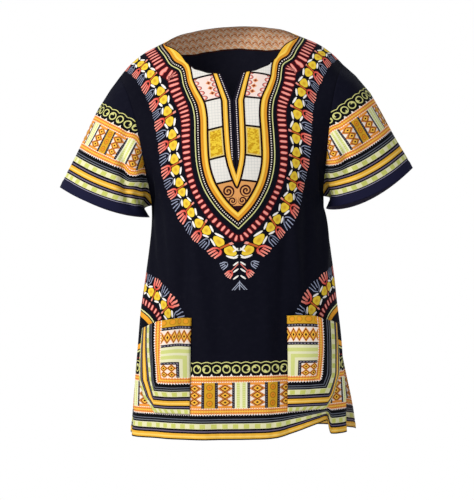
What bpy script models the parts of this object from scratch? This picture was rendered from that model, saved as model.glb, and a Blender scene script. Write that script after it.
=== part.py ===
"""Dashiki shirt, worn and standing free of its wearer: front, back, two sleeves and two patch pockets.

Every panel is a wall of cloth. The front, the back and the sleeves are first worked out as one skin
that shares its points along the seams. The skin is then cut at the seams, each piece is drawn back from
its neighbours by half the seam gap, and its wall is raised on both sides of the skin.

Frame: +X is the wearer's left, +Y the wearer's back, +Z up. The origin is midway between the two neck
points, where the shoulder seams meet the neckline.
"""

import math

import bpy
import numpy as np

# ---- Driving dimensions, in metres ----
CLOTH = 0.002  # thickness of every wall
SEAM_GAP = 0.0003  # air between two pieces that are sewn together
POCKET_GAP = 0.0009  # air between a pocket's sewn edge and the front

# Each panel is a stack of rows from the shoulder line down to the hem. A row runs from the middle of
# the panel (x = 0) to its edge, which is the armhole seam down to row 7, the side seam down to row 10
# and the open side vent below. "turn" is how far round, in degrees, the row bends from middle to edge,
# and "arch" is how its height falls away from the middle: 1 is straight, and 4 is level, then steep.
#  mid_y   mid_z   edge_x  edge_y  edge_z  turn  arch
FRONT_ROWS = (
    (0.000, 0.008, 0.2264, 0.000, -0.063, 30, 4.0),
    (-0.045, -0.020, 0.2130, -0.046, -0.090, 38, 3.0),
    (-0.076, -0.074, 0.2010, -0.068, -0.128, 44, 2.1),
    (-0.104, -0.135, 0.1920, -0.076, -0.172, 50, 2.1),
    (-0.121, -0.200, 0.1850, -0.075, -0.220, 56, 2.1),
    (-0.130, -0.265, 0.1795, -0.057, -0.264, 64, 2.1),
    (-0.133, -0.308, 0.1752, -0.030, -0.298, 76, 2.1),
    (-0.134, -0.340, 0.1740, 0.005, -0.326, 90, 2.1),
    (-0.135, -0.385, 0.1765, 0.005, -0.375, 90, 2.1),
    (-0.137, -0.480, 0.1900, 0.005, -0.475, 90, 2.1),
    (-0.140, -0.600, 0.2030, 0.003, -0.598, 90, 2.1),
    (-0.143, -0.700, 0.2100, -0.004, -0.700, 88, 2.1),
    (-0.146, -0.795, 0.2140, -0.012, -0.795, 86, 2.1),
)
BACK_ROWS = (
    (0.000, 0.008, 0.2264, 0.000, -0.063, 30, 4.0),
    (0.045, 0.034, 0.2150, 0.048, -0.088, 38, 3.0),
    (0.085, 0.024, 0.2050, 0.074, -0.126, 44, 2.1),
    (0.122, -0.040, 0.1960, 0.086, -0.172, 50, 2.1),
    (0.143, -0.120, 0.1880, 0.084, -0.220, 56, 2.1),
    (0.151, -0.205, 0.1810, 0.066, -0.264, 64, 2.1),
    (0.151, -0.280, 0.1755, 0.038, -0.298, 76, 2.1),
    (0.150, -0.335, 0.1740, 0.005, -0.326, 90, 2.1),
    (0.147, -0.385, 0.1765, 0.005, -0.375, 90, 2.1),
    (0.144, -0.480, 0.1900, 0.005, -0.475, 90, 2.1),
    (0.148, -0.600, 0.2030, 0.003, -0.598, 90, 2.1),
    (0.152, -0.700, 0.2110, 0.012, -0.700, 90, 2.1),
    (0.156, -0.795, 0.2170, 0.022, -0.795, 90, 2.1),
)
MID_Y, MID_Z, EDGE_X, EDGE_Y, EDGE_Z, TURN, ARCH = range(7)
UNDERARM_ROW, VENT_ROW, HEM_ROW = 7, 10, 12

# Where the panel's top edge leaves the shoulder line to go round the neck.
# "across" is the share of the way from the middle to the edge, and "row" is counted as above.
#  across  row
FRONT_NECK = ((0.0, 2.0), (0.155, 1.93), (0.31, 1.70), (0.39, 1.40), (0.55, 0.0))
BACK_NECK = ((0.0, 1.45), (0.155, 1.40), (0.31, 1.18), (0.45, 0.70), (0.55, 0.0))
NECK_REACH_ROW = 3.0  # the neckline moves the rows above this one

# The neck slit down the middle of the front.
SLIT_END_ROW = 5.0
SLIT_GAP = 0.0005  # half of it, where the two edges meet
SLIT_MOUTH = 0.021  # half of it, at the neckline
SLIT_CLOSES_ROW = 2.95
SLIT_REACH = 0.45  # how far across the panel the open slit pushes the cloth

# Soft upright folds of the two panels. "across" runs from -1 at the wearer's right edge to 1 at the left,
# "width" is in the same units, the fold grows from its "top" row to the hem, and "depth" is its height.
#  across  width  top   depth
FRONT_FOLDS = (
    (-0.86, 0.11, 7.2, 0.007),
    (-0.66, 0.10, 7.6, -0.006),
    (-0.26, 0.09, 8.6, 0.005),
    (-0.10, 0.09, 9.4, -0.004),
    (0.22, 0.09, 8.2, 0.005),
    (0.36, 0.08, 8.8, -0.005),
    (0.64, 0.09, 8.0, 0.006),
    (0.88, 0.10, 7.2, 0.007),
)
BACK_FOLDS = (
    (-0.84, 0.12, 7.0, 0.008),
    (-0.60, 0.12, 5.6, -0.007),
    (-0.34, 0.12, 6.4, 0.009),
    (-0.08, 0.12, 7.4, -0.007),
    (0.18, 0.12, 6.0, 0.009),
    (0.42, 0.12, 6.8, -0.008),
    (0.66, 0.12, 5.8, 0.008),
    (0.88, 0.11, 7.4, -0.005),
)
# Below the left pocket the front's hem swings in under the hand, and so stands higher.
HEM_UP, HEM_IN, HEM_SWING_ACROSS, HEM_SWING_WIDTH, HEM_SWING_ROW = 0.026, 0.034, 0.66, 0.10, 11.47
# Below the side vents the back's two edges stand out by this much at the hem.
VENT_FLARE = {"right": 0.003, "left": 0.020}
VENT_FLARE_REACH = 0.6  # the share of the way across the back at which the flare starts

# Sleeves: the cuff is an oval ring, square to the upper arm.
CUFF_X, CUFF_Y, CUFF_Z = 0.2685, 0.002, -0.3145
CUFF_HALF_WIDTH, CUFF_HALF_DEPTH = 0.0950, 0.0780
CUFF_SLOPE = 21.5  # degrees by which the outer side of the cuff stands higher than the inner side
UNDERARM_OUT = 0.0150  # how far the underarm cloth bows away from the body
#  along  bow, as a share of the above
UNDERARM_BOW = ((0.0, 0.0), (0.07, 0.50), (0.15, 0.82), (0.30, 1.0), (0.60, 0.70), (1.0, 0.0))
#            cap bulge, sag of the cuff between its sides, further drop of its back, fold depth
SLEEVES = {"right": (0.0080, 0.013, 0.002, 0.008), "left": (0.0150, 0.017, 0.008, 0.005)}
#  along  swell, as a share of the cap's bulge
SWELL = ((0.0, 0.0), (0.12, 0.62), (0.30, 1.0), (0.62, 0.55), (1.0, 0.0))
# Troughs of a sleeve, which run from the armhole's front towards the cuff. "round" is in degrees from the
# top of the sleeve towards its front, and "along" goes from the armhole (0) to the cuff (1).
#  round  round_width  along  along_width  share of the fold depth
SLEEVE_TROUGHS = (
    (118, 34, 0.55, 0.16, -1.0),
    (100, 26, 0.30, 0.14, 0.7),
    (235, 34, 0.50, 0.20, -0.8),
    (265, 30, 0.26, 0.16, 0.6),
    (52, 22, 0.62, 0.30, -0.4),
)

# Patch pockets, laid on the front between two of its rows. Their lower outer corners are drawn in.
POCKET_INNER = 0.35  # how far across the front the inner edge lies
#  row    across, of the outer edge
POCKET_OUTER = ((9.64, 0.81), (10.8, 0.81), (11.15, 0.765), (11.47, 0.67))
POCKET_TOP_ROW, POCKET_BOTTOM_ROW = 9.64, 11.47
POCKET_COLUMNS = 8
POCKET_MOUTH_DROP = 0.55  # how far the mouth's outer end falls, as a share of the row below it
POCKET_BULGE = {"right": 0.026, "left": 0.024}

# The wearer stands with the right shoulder lower, and the neck a little to the right of the hem's middle.
TILT_TOP, TILT_HEM, TILT_FROM_Z, TILT_TO_Z = 0.055, 0.018, -0.30, -0.65
LEAN_TOP, LEAN_HEM, LEAN_FROM_Z, LEAN_TO_Z = -0.013, 0.005, 0.05, -0.50

# The grid that the skin is worked out on.
COLUMNS = (0.0, 0.075, 0.155, 0.235, 0.31, 0.35, 0.39, 0.43, 0.49, 0.55)
COLUMNS += (0.61, 0.67, 0.72, 0.765, 0.81, 0.86, 0.91, 0.955, 1.0)
ARMHOLE_ROWS = (0.0, 0.7, 1.4, 2.2, 2.95, 3.6, 4.3, 5.0, 5.6, 6.1, 6.55, 7.0)
LOWER_ROWS = (7.5, 8.0, 8.55, 9.1, 9.64, 10.0, 10.4, 10.8, 11.15, 11.47, 12.0)
SLEEVE_RINGS = (0.0, 0.07, 0.15, 0.25, 0.36, 0.48, 0.60, 0.73, 0.87, 1.0)

# Each piece's colour, which is the mean of its print, as linear red, green and blue.
COLOURS = {
    "front": (0.060, 0.045, 0.040),
    "back": (0.052, 0.040, 0.036),
    "sleeve": (0.120, 0.090, 0.045),
    "pocket": (0.420, 0.260, 0.090),
}
CLOTH_ROUGHNESS = 0.85


def column_at(rows, column, at):
    """One column of a table, read between its rows on a smooth curve that passes through each of them."""
    values = np.array([row[column] for row in rows], float)
    slopes = np.gradient(values)
    first = np.clip(np.floor(at).astype(int), 0, len(values) - 2)
    part = at - first
    rest = 1.0 - part
    return (
        values[first] * (1 + 2 * part) * rest**2
        + slopes[first] * part * rest**2
        + values[first + 1] * part**2 * (3 - 2 * part)
        - slopes[first + 1] * part**2 * rest
    )


def smooth_step(low, high, at):
    """0 up to low, 1 from high on, and a smooth rise between them."""
    share = np.clip((at - low) / (high - low), 0, 1)
    return share**2 * (3 - 2 * share)


def bump(at, centre, width):
    """A smooth hump of height 1 at the centre, which has died away at about twice its width."""
    return np.exp(-(((at - centre) / width) ** 2))


def row_points(rows, across, row, samples=64):
    """Points of a panel: a share of the way across it, at a row that need not be whole.

    From middle to edge a row is part of an ellipse, turned as far as its "turn" says. The points are
    spaced along it by their real distance.
    """
    across, row = np.broadcast_arrays(across, row)
    read = [column_at(rows, column, row)[..., None] for column in range(7)]
    turn = np.radians(read[TURN]) * np.linspace(0, 1, samples)
    full = np.radians(read[TURN])
    out = np.sin(turn) / np.sin(full)
    x = read[EDGE_X] * out
    y = read[EDGE_Y] + (read[MID_Y] - read[EDGE_Y]) * (np.cos(turn) - np.cos(full)) / (1 - np.cos(full))
    z = read[MID_Z] + (read[EDGE_Z] - read[MID_Z]) * out ** read[ARCH]
    line = np.stack([x, y, z], axis=-1)
    steps = np.linalg.norm(np.diff(line, axis=-2), axis=-1)
    along = np.concatenate([np.zeros(steps.shape[:-1] + (1,)), np.cumsum(steps, axis=-1)], axis=-1)
    wanted = np.abs(across) * along[..., -1]
    low = np.clip((along <= wanted[..., None]).sum(-1) - 1, 0, samples - 2)[..., None]
    start = np.take_along_axis(along, low, -1)
    end = np.take_along_axis(along, low + 1, -1)
    part = (wanted[..., None] - start) / (end - start)
    picked = np.take_along_axis(line, low[..., None], -2) * (1 - part)[..., None]
    picked = (picked + np.take_along_axis(line, low[..., None] + 1, -2) * part[..., None])[..., 0, :]
    picked[..., 0] *= np.where(across < 0, -1, 1)
    return picked


def panel_rows(neck, across, base_row):
    """The row numbers of a grid: level ones, save that the upper ones make room for the neckline."""
    top = np.interp(np.abs(across), [n[0] for n in neck], [n[1] for n in neck])
    return base_row + top * np.clip(1 - base_row / NECK_REACH_ROW, 0, 1)


def folds(table, across, row):
    """How far the upright folds lift a point off the panel."""
    lift = np.zeros(np.broadcast(across, row).shape)
    for centre, width, top, depth in table:
        lift = lift + depth * bump(across, centre, width) * smooth_step(top, HEM_ROW, row)
    return lift * smooth_step(0.0, 0.08, 1 - np.abs(across))


def slit_shift(side, across, row):
    """How far the slit's open mouth pushes the cloth of one side away from the middle."""
    open_part = np.clip((SLIT_CLOSES_ROW - row) / (SLIT_CLOSES_ROW - 2.0), 0, 1)
    half = SLIT_GAP + (SLIT_MOUTH - SLIT_GAP) * open_part
    half = np.where(row < SLIT_END_ROW, half, 0.0)
    return side * half * np.clip(1 - np.abs(across) / SLIT_REACH, 0, 1)


def half_panel(rows, neck, fold_table, side):
    """One half of a panel: its points, rows down and columns from the middle out, and their places on it."""
    across = side * np.array(COLUMNS)[None, :]
    base = np.array(ARMHOLE_ROWS + LOWER_ROWS)[:, None]
    row = panel_rows(neck, across, base)
    across = np.broadcast_to(across, row.shape)
    points = row_points(rows, across, row)
    outward = np.stack([np.sin(across * math.pi / 2), np.zeros(row.shape), np.zeros(row.shape)], -1)
    outward[..., 1] = np.sign(rows[4][MID_Y]) * np.cos(across * math.pi / 2)
    points = points + outward * folds(fold_table, across, row)[..., None]
    return points, across, row


def front_half(side):
    """The front's half: the slit's edges part at the neck, and the left hem swings in below the pocket."""
    points, across, row = half_panel(FRONT_ROWS, FRONT_NECK, FRONT_FOLDS, side)
    points[..., 0] += slit_shift(side, across, row)
    swing = bump(across, HEM_SWING_ACROSS, HEM_SWING_WIDTH) * smooth_step(HEM_SWING_ROW, HEM_ROW, row)
    points[..., 1] += HEM_IN * swing
    points[..., 2] += HEM_UP * swing
    return points


def back_half(side, hand):
    """The back's half: its edge stands out below the vent."""
    points, across, row = half_panel(BACK_ROWS, BACK_NECK, BACK_FOLDS, side)
    out = smooth_step(VENT_FLARE_REACH, 1.0, np.abs(across)) * smooth_step(VENT_ROW, HEM_ROW, row)
    points[..., 0] += side * VENT_FLARE[hand] * out
    return points


def join_side_seam(front, back):
    """Gives the two panels the same edge from the underarm to the top of the side vent."""
    base = np.array(ARMHOLE_ROWS + LOWER_ROWS)
    sewn = (base >= UNDERARM_ROW) & (base <= VENT_ROW)
    seam = (front[sewn, -1] + back[sewn, -1]) / 2
    front[sewn, -1] = seam
    back[sewn, -1] = seam


class Skin:
    """The points and four-sided faces of the whole shirt's middle surface, each face with its piece."""

    def __init__(self):
        self.points = []
        self.places = {}
        self.faces = {}

    def point(self, xyz):
        """The number of this point. Two pieces that name the same place share one point."""
        key = tuple(np.round(xyz, 6))
        if key not in self.places:
            self.places[key] = len(self.points)
            self.points.append(np.array(xyz, float))
        return self.places[key]

    def grid(self, piece, points, flip):
        """Adds a grid of points as the piece's faces, and returns the points' numbers."""
        numbers = np.array([[self.point(p) for p in line] for line in points])
        for r in range(numbers.shape[0] - 1):
            for c in range(numbers.shape[1] - 1):
                corners = [numbers[r, c], numbers[r + 1, c], numbers[r + 1, c + 1], numbers[r, c + 1]]
                self.faces.setdefault(piece, []).append(corners[::-1] if flip else corners)
        return numbers

    def normals(self):
        """The mean direction of the faces round each point, of all the pieces that meet there."""
        points = np.array(self.points)
        sums = np.zeros(points.shape)
        for faces in self.faces.values():
            corners = points[np.array(faces)]
            away = np.cross(corners[:, 2] - corners[:, 0], corners[:, 3] - corners[:, 1])
            away /= np.linalg.norm(away, axis=1)[:, None]
            for corner in range(4):
                np.add.at(sums, np.array(faces)[:, corner], away)
        return sums / np.linalg.norm(sums, axis=1)[:, None]


def sleeve_points(side, name, armhole):
    """A sleeve's grid: rings from the armhole to the cuff, with points from the top round by the front."""
    cap_bulge, sag, back_drop, fold_depth = SLEEVES[name]
    half = len(armhole) // 2
    lengths = np.linalg.norm(np.diff(np.concatenate([armhole, armhole[:1]]), axis=0), axis=1)
    along = np.concatenate([[0], np.cumsum(lengths)])
    front = math.pi * along[:half] / along[half]
    back = math.pi + math.pi * (along[half:-1] - along[half]) / (along[-1] - along[half])
    angle = np.concatenate([front, back])
    slope = math.radians(CUFF_SLOPE)
    wide = np.array([side * math.cos(slope), 0, math.sin(slope)])
    deep = np.array([0, -1.0, 0])
    spoke = np.cos(angle)[:, None] * wide * CUFF_HALF_WIDTH + np.sin(angle)[:, None] * deep * CUFF_HALF_DEPTH
    cuff = np.array([side * CUFF_X, CUFF_Y, CUFF_Z]) + spoke
    cuff[:, 2] -= sag * np.sin(angle) ** 2 + back_drop * np.clip(-np.sin(angle), 0, 1)
    away = spoke / np.linalg.norm(spoke, axis=1)[:, None]
    under = bump(angle, math.pi, 0.75)
    rings = []
    for ring in SLEEVE_RINGS:
        swell = np.interp(ring, [s[0] for s in SWELL], [s[1] for s in SWELL])
        points = armhole * (1 - ring) + cuff * ring
        points = points + away * (cap_bulge * swell * (1 - under))[:, None]
        bow = np.interp(ring, [b[0] for b in UNDERARM_BOW], [b[1] for b in UNDERARM_BOW])
        points[:, 0] += side * UNDERARM_OUT * bow * under
        for where, where_width, at, at_width, share in SLEEVE_TROUGHS:
            hump = bump(np.degrees(angle), where, where_width) * bump(ring, at, at_width)
            hump = hump * fold_depth * share * math.sin(math.pi * ring) ** 0.5
            points = points + away * hump[:, None]
        rings.append(points)
    return np.array(rings)


def lean(points):
    """The stance: heights tilt towards the wearer's right, and the upper part stands a little to the right."""
    x, y, z = np.moveaxis(np.asarray(points, float), -1, 0)
    tilt = TILT_HEM + (TILT_TOP - TILT_HEM) * (1 - smooth_step(-TILT_FROM_Z, -TILT_TO_Z, -z))
    shift = LEAN_TOP + (LEAN_HEM - LEAN_TOP) * smooth_step(-LEAN_FROM_Z, -LEAN_TO_Z, -z)
    return np.stack([x + shift, y, z + tilt * x], axis=-1)


def drawn_back(points, normals, faces, distance):
    """The piece's points, with those on its open edges moved into the piece by the distance."""
    edges = {}
    for face in faces:
        for start, end in zip(face, face[1:] + face[:1]):
            edges[(start, end)] = True
    inward = {}
    for start, end in edges:
        if (end, start) in edges:
            continue
        run = points[end] - points[start]
        for corner in (start, end):
            into = np.cross(normals[corner], run)
            inward.setdefault(corner, []).append(into / np.linalg.norm(into))
    moved = points.copy()
    for corner, ways in inward.items():
        total = np.sum(ways, axis=0) * 2 / len(ways)
        share = 1 + np.dot(ways[0], ways[-1])
        moved[corner] = points[corner] + distance * total / max(share, 0.5)
    return moved


def wall(name, points, normals, faces, colour):
    """Makes the piece: its faces raised by half the cloth on both sides, and closed round its open edges."""
    used = sorted({corner for face in faces for corner in face})
    renumber = {old: new for new, old in enumerate(used)}
    faces = [[renumber[corner] for corner in face] for face in faces]
    half = CLOTH / 2 * normals[used]
    corners = np.concatenate([lean(points[used] + half), lean(points[used] - half)])
    count = len(used)
    edges = {(a, b) for face in faces for a, b in zip(face, face[1:] + face[:1])}
    sides = list(faces)
    # The inner faces start at the corner that makes them split along the outer faces' diagonal.
    sides += [[face[start] + count for start in (2, 1, 0, 3)] for face in faces]
    for a, b in sorted(edges):
        if (b, a) in edges:
            continue
        # A twisted edge is split along the same diagonal as its neighbour's, so that the two stay apart.
        if a < b:
            sides += [[b, a, a + count], [b, a + count, b + count]]
        else:
            sides += [[b, a, b + count], [a, a + count, b + count]]
    mesh = bpy.data.meshes.new(name)
    mesh.from_pydata(corners.tolist(), [], sides)
    mesh.validate()
    mesh.shade_smooth()
    mesh.set_sharp_from_angle(angle=math.radians(50))
    piece = bpy.data.objects.new(name, mesh)
    bpy.context.scene.collection.objects.link(piece)
    material = bpy.data.materials.new(name + "_cotton")
    material.use_nodes = True
    shader = material.node_tree.nodes["Principled BSDF"]
    shader.inputs["Base Color"].default_value = (*colour, 1.0)
    shader.inputs["Roughness"].default_value = CLOTH_ROUGHNESS
    shader.inputs["Metallic"].default_value = 0.0
    mesh.materials.append(material)
    return piece


def pocket(skin_points, skin_normals, numbers, name):
    """A patch pocket: the front's own points moved out, and swollen where the hand goes in."""
    base = ARMHOLE_ROWS + LOWER_ROWS
    rows = [r for r, row in enumerate(base) if POCKET_TOP_ROW <= row <= POCKET_BOTTOM_ROW]
    over = np.linspace(0, 1, POCKET_COLUMNS + 1)
    points, normals = [], []
    for r in rows:
        outer = np.interp(base[r], [edge[0] for edge in POCKET_OUTER], [edge[1] for edge in POCKET_OUTER])
        across = POCKET_INNER + (outer - POCKET_INNER) * over
        line, ways = skin_points[numbers[r]], skin_normals[numbers[r]]
        points.append(np.stack([np.interp(across, COLUMNS, line[:, axis]) for axis in range(3)], -1))
        normals.append(np.stack([np.interp(across, COLUMNS, ways[:, axis]) for axis in range(3)], -1))
    points, normals = np.array(points), np.array(normals)
    down = np.array([base[r] for r in rows])
    down = (down - POCKET_TOP_ROW) / (POCKET_BOTTOM_ROW - POCKET_TOP_ROW)
    drop = POCKET_MOUTH_DROP * smooth_step(0.1, 1.0, over)[:, None]
    points[0] = points[0] * (1 - drop) + points[1] * drop
    swell = np.sin(math.pi * over[None, :]) ** 0.8 * np.cos(math.pi / 2 * down[:, None] ** 1.6)
    out = CLOTH + POCKET_GAP + POCKET_BULGE[name] * np.clip(swell, 0, 1)
    points = points + normals * out[..., None]
    faces = []
    width = POCKET_COLUMNS + 1
    for r in range(len(rows) - 1):
        for c in range(POCKET_COLUMNS):
            face = [r * width + c, (r + 1) * width + c, (r + 1) * width + c + 1, r * width + c + 1]
            faces.append(face if name == "left" else face[::-1])
    flat_points, flat_normals = points.reshape(-1, 3), normals.reshape(-1, 3)
    return wall("pocket_" + name, flat_points, flat_normals, faces, COLOURS["pocket"])


def build():
    """Clears the scene, works out the skin, and raises each piece's wall."""
    for obj in list(bpy.data.objects):
        bpy.data.objects.remove(obj, do_unlink=True)
    skin = Skin()
    armhole_count = len(ARMHOLE_ROWS)
    front_numbers = {}
    for side, hand in ((-1, "right"), (1, "left")):
        front = front_half(side)
        back = back_half(side, hand)
        join_side_seam(front, back)
        front_numbers[hand] = skin.grid("front", front, flip=side < 0)
        skin.grid("back", back, flip=side > 0)
        armhole = np.concatenate([front[:armhole_count, -1], back[armhole_count - 2 : 0 : -1, -1]])
        rings = sleeve_points(side, hand, armhole)
        rings = np.concatenate([rings, rings[:, :1]], axis=1)
        skin.grid("sleeve_" + hand, rings, flip=side > 0)
    points, normals = np.array(skin.points), skin.normals()
    for piece, faces in skin.faces.items():
        colour = COLOURS[piece.split("_")[0]]
        drawn = drawn_back(points, normals, faces, SEAM_GAP / 2)
        wall(piece, drawn, normals, faces, colour)
    for hand, numbers in front_numbers.items():
        pocket(points, normals, numbers, hand)


build()
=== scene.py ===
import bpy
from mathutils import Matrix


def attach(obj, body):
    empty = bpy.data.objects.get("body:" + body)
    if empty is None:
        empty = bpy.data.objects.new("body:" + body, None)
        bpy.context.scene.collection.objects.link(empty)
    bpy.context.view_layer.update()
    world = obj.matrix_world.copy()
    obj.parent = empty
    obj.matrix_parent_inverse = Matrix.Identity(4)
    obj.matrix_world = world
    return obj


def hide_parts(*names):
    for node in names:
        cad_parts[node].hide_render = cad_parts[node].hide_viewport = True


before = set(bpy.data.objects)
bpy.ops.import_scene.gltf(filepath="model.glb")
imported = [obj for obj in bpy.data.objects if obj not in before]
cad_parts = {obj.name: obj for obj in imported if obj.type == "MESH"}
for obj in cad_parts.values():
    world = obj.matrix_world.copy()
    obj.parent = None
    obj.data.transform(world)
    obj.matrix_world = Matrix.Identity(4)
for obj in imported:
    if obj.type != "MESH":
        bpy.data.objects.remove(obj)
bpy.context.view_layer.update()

import ast
import math

import bpy
import numpy as np

# ---- Camera, light and floor ----
# The shirt is looked at straight from the front, from 3.3 m, at the height of its middle. A large soft
# light stands before its right shoulder, and a weaker one before its left.
CAMERA_AT = (0.0, -3.3, -0.4263)
CAMERA_LENS = 117.04  # mm, on a sensor 36 mm high
FLOOR_Z, FLOOR_RADIUS, FLOOR_SIDES = -1.6, 4.0, 64
#    place, size in metres, power in watts, colour
LIGHTS = (
    ((-2.3, -2.1, 1.3), 1.3, 92.0, "#fffaf2"),
    ((2.6, -2.2, 0.5), 1.6, 5.0, "#f4f8ff"),
    ((0.4, 2.6, 1.6), 1.6, 22.0, "#ffffff"),
)
LIT_PLACE = (0.0, 0.0, -0.4)  # what the lights are turned to
ROOM_LIGHT = 0.48  # how brightly the white room lights the shirt; it is seen at full strength


def linear(code):
    """The linear colour of an sRGB hex value such as #f0b63a."""
    parts = np.array([int(code[i : i + 2], 16) for i in (1, 3, 5)]) / 255
    low, high = parts / 12.92, ((parts + 0.055) / 1.055) ** 2.4
    return tuple(float(v) for v in np.where(parts <= 0.04045, low, high)) + (1.0,)


def add(tree, kind, settings=(), inputs=()):
    """Adds a node, sets its settings by name, and gives each named input a value or another node's output."""
    new = tree.nodes.new(kind)
    for name, value in dict(settings).items():
        setattr(new, name, value)
    for name, value in dict(inputs).items():
        if isinstance(value, bpy.types.NodeSocket):
            tree.links.new(value, new.inputs[name])
        else:
            new.inputs[name].default_value = value
    return new


camera = bpy.data.objects.new("camera", bpy.data.cameras.new("camera"))
camera.location = CAMERA_AT
camera.rotation_euler = (math.pi / 2, 0, 0)
camera.data.lens = CAMERA_LENS
camera.data.sensor_width = 36.0
bpy.context.scene.collection.objects.link(camera)
bpy.context.scene.camera = camera
bpy.context.scene.view_settings.view_transform = "Standard"

for number, (place, size, power, colour) in enumerate(LIGHTS):
    lamp = bpy.data.lights.new("soft_light", "AREA")
    lamp.size = size
    lamp.energy = power
    lamp.color = linear(colour)[:3]
    light = bpy.data.objects.new(f"soft_light_{number}", lamp)
    light.location = place
    aim = np.array(LIT_PLACE) - np.array(place)
    tip = math.acos(-aim[2] / np.linalg.norm(aim))
    light.rotation_euler = (tip, 0, math.atan2(aim[0], -aim[1]) + math.pi)
    bpy.context.scene.collection.objects.link(light)

world = bpy.data.worlds.new("white_room")
world.use_nodes = True
bpy.context.scene.world = world
world.node_tree.nodes.clear()
seen = add(world.node_tree, "ShaderNodeLightPath")
strength = add(
    world.node_tree,
    "ShaderNodeMapRange",
    inputs={"Value": seen.outputs["Is Camera Ray"], "To Min": ROOM_LIGHT, "To Max": 1.0},
)
sky = add(
    world.node_tree,
    "ShaderNodeBackground",
    inputs={"Color": (1, 1, 1, 1), "Strength": strength.outputs[0]},
)
add(world.node_tree, "ShaderNodeOutputWorld", inputs={"Surface": sky.outputs[0]})

floor_mesh = bpy.data.meshes.new("floor")
round_it = np.linspace(0, 2 * math.pi, FLOOR_SIDES, endpoint=False)
rim = np.stack([np.cos(round_it), np.sin(round_it), np.zeros(FLOOR_SIDES)], axis=-1) * FLOOR_RADIUS
rim[:, 2] = FLOOR_Z
floor_mesh.from_pydata(rim.tolist(), [], [list(range(FLOOR_SIDES))])
floor = bpy.data.objects.new("floor", floor_mesh)
bpy.context.scene.collection.objects.link(floor)
paint = bpy.data.materials.new("white_paint")
paint.use_nodes = True
paint.node_tree.nodes["Principled BSDF"].inputs["Base Color"].default_value = linear("#f6f6f6")
paint.node_tree.nodes["Principled BSDF"].inputs["Roughness"].default_value = 0.9
floor_mesh.materials.append(paint)

# ---- Printed cotton ----
# Plain-woven cotton, wax-printed: a smooth, slightly stiff cloth with crisp flat colours and a dull sheen.
# Its prints are written as short formulas in millimetres on the flat cut, and worked out as nodes.
SIGNS = {
    ast.Add: "ADD",
    ast.Sub: "SUBTRACT",
    ast.Mult: "MULTIPLY",
    ast.Div: "DIVIDE",
    ast.Pow: "POWER",
    ast.Mod: "FLOORED_MODULO",
    ast.Lt: "LESS_THAN",
    ast.Gt: "GREATER_THAN",
    ast.And: "MULTIPLY",
    ast.Or: "MAXIMUM",
}
THREAD = 1.1  # mm between ribs of the weave, drawn three times as coarse as the real one so that it shows


def work_out(tree, term, named):
    """The value of one term of a formula: a number, a colour, a name's value, or the output of new nodes.

    A sign between two terms, or a word before brackets, is one of the Math node's operations, and
    mix(under, over, share) lays one colour on another.
    """
    if isinstance(term, ast.Constant):
        return linear(term.value) if isinstance(term.value, str) else float(term.value)
    if isinstance(term, ast.Name):
        return named[term.id]
    if isinstance(term, ast.BoolOp):
        operation, parts = SIGNS[type(term.op)], term.values
    elif isinstance(term, ast.BinOp):
        operation, parts = SIGNS[type(term.op)], [term.left, term.right]
    elif isinstance(term, ast.Compare):
        operation, parts = SIGNS[type(term.ops[0])], [term.left, term.comparators[0]]
    elif isinstance(term, ast.UnaryOp):
        operation, parts = "MULTIPLY", [term.operand, ast.Constant(-1.0)]
    else:
        operation, parts = term.func.id.upper(), term.args
    values = [work_out(tree, part, named) for part in parts]
    if operation == "MIX":
        inputs = {0: values[2], 6: values[0], 7: values[1]}
        return add(tree, "ShaderNodeMix", {"data_type": "RGBA"}, inputs).outputs[2]
    result = values[0]
    if len(values) == 1:
        return add(tree, "ShaderNodeMath", {"operation": operation}, {0: result}).outputs[0]
    for value in values[1:]:
        result = add(tree, "ShaderNodeMath", {"operation": operation}, {0: result, 1: value}).outputs[0]
    return result


def draw(tree, formulas, **named):
    """Works out lines of the form name = formula, from the named values given, and returns all the names.

    A line paint(over, share) lays a colour on the one named colour, as far as its share says.
    """
    for line in ast.parse(formulas).body:
        if isinstance(line, ast.Expr):
            term = ast.Call(ast.Name("mix"), [ast.Name("colour"), *line.value.args])
            named["colour"] = work_out(tree, term, named)
        else:
            named[line.targets[0].id] = work_out(tree, line.value, named)
    return named


def bands(tree, at, table, reach):
    """Plain stripes: a table of where each begins and its colour, over the reach in mm, with sharp edges."""
    share = draw(tree, "share = at / reach", at=at, reach=reach)["share"]
    ramp = add(tree, "ShaderNodeValToRGB", inputs={"Fac": share})
    stops = ramp.color_ramp
    stops.interpolation = "CONSTANT"
    for start, colour in table[1:-1]:
        stops.elements.new(start / reach).color = linear(colour)
    stops.elements[0].position, stops.elements[0].color = table[0][0] / reach, linear(table[0][1])
    stops.elements[-1].position, stops.elements[-1].color = table[-1][0] / reach, linear(table[-1][1])
    return ramp.outputs["Color"]


def spot_values(tree, name):
    """The three values that the piece's mesh holds at each of its points under a name."""
    spot = add(tree, "ShaderNodeAttribute", {"attribute_name": name})
    return add(tree, "ShaderNodeSeparateXYZ", inputs={0: spot.outputs["Vector"]}).outputs


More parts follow.
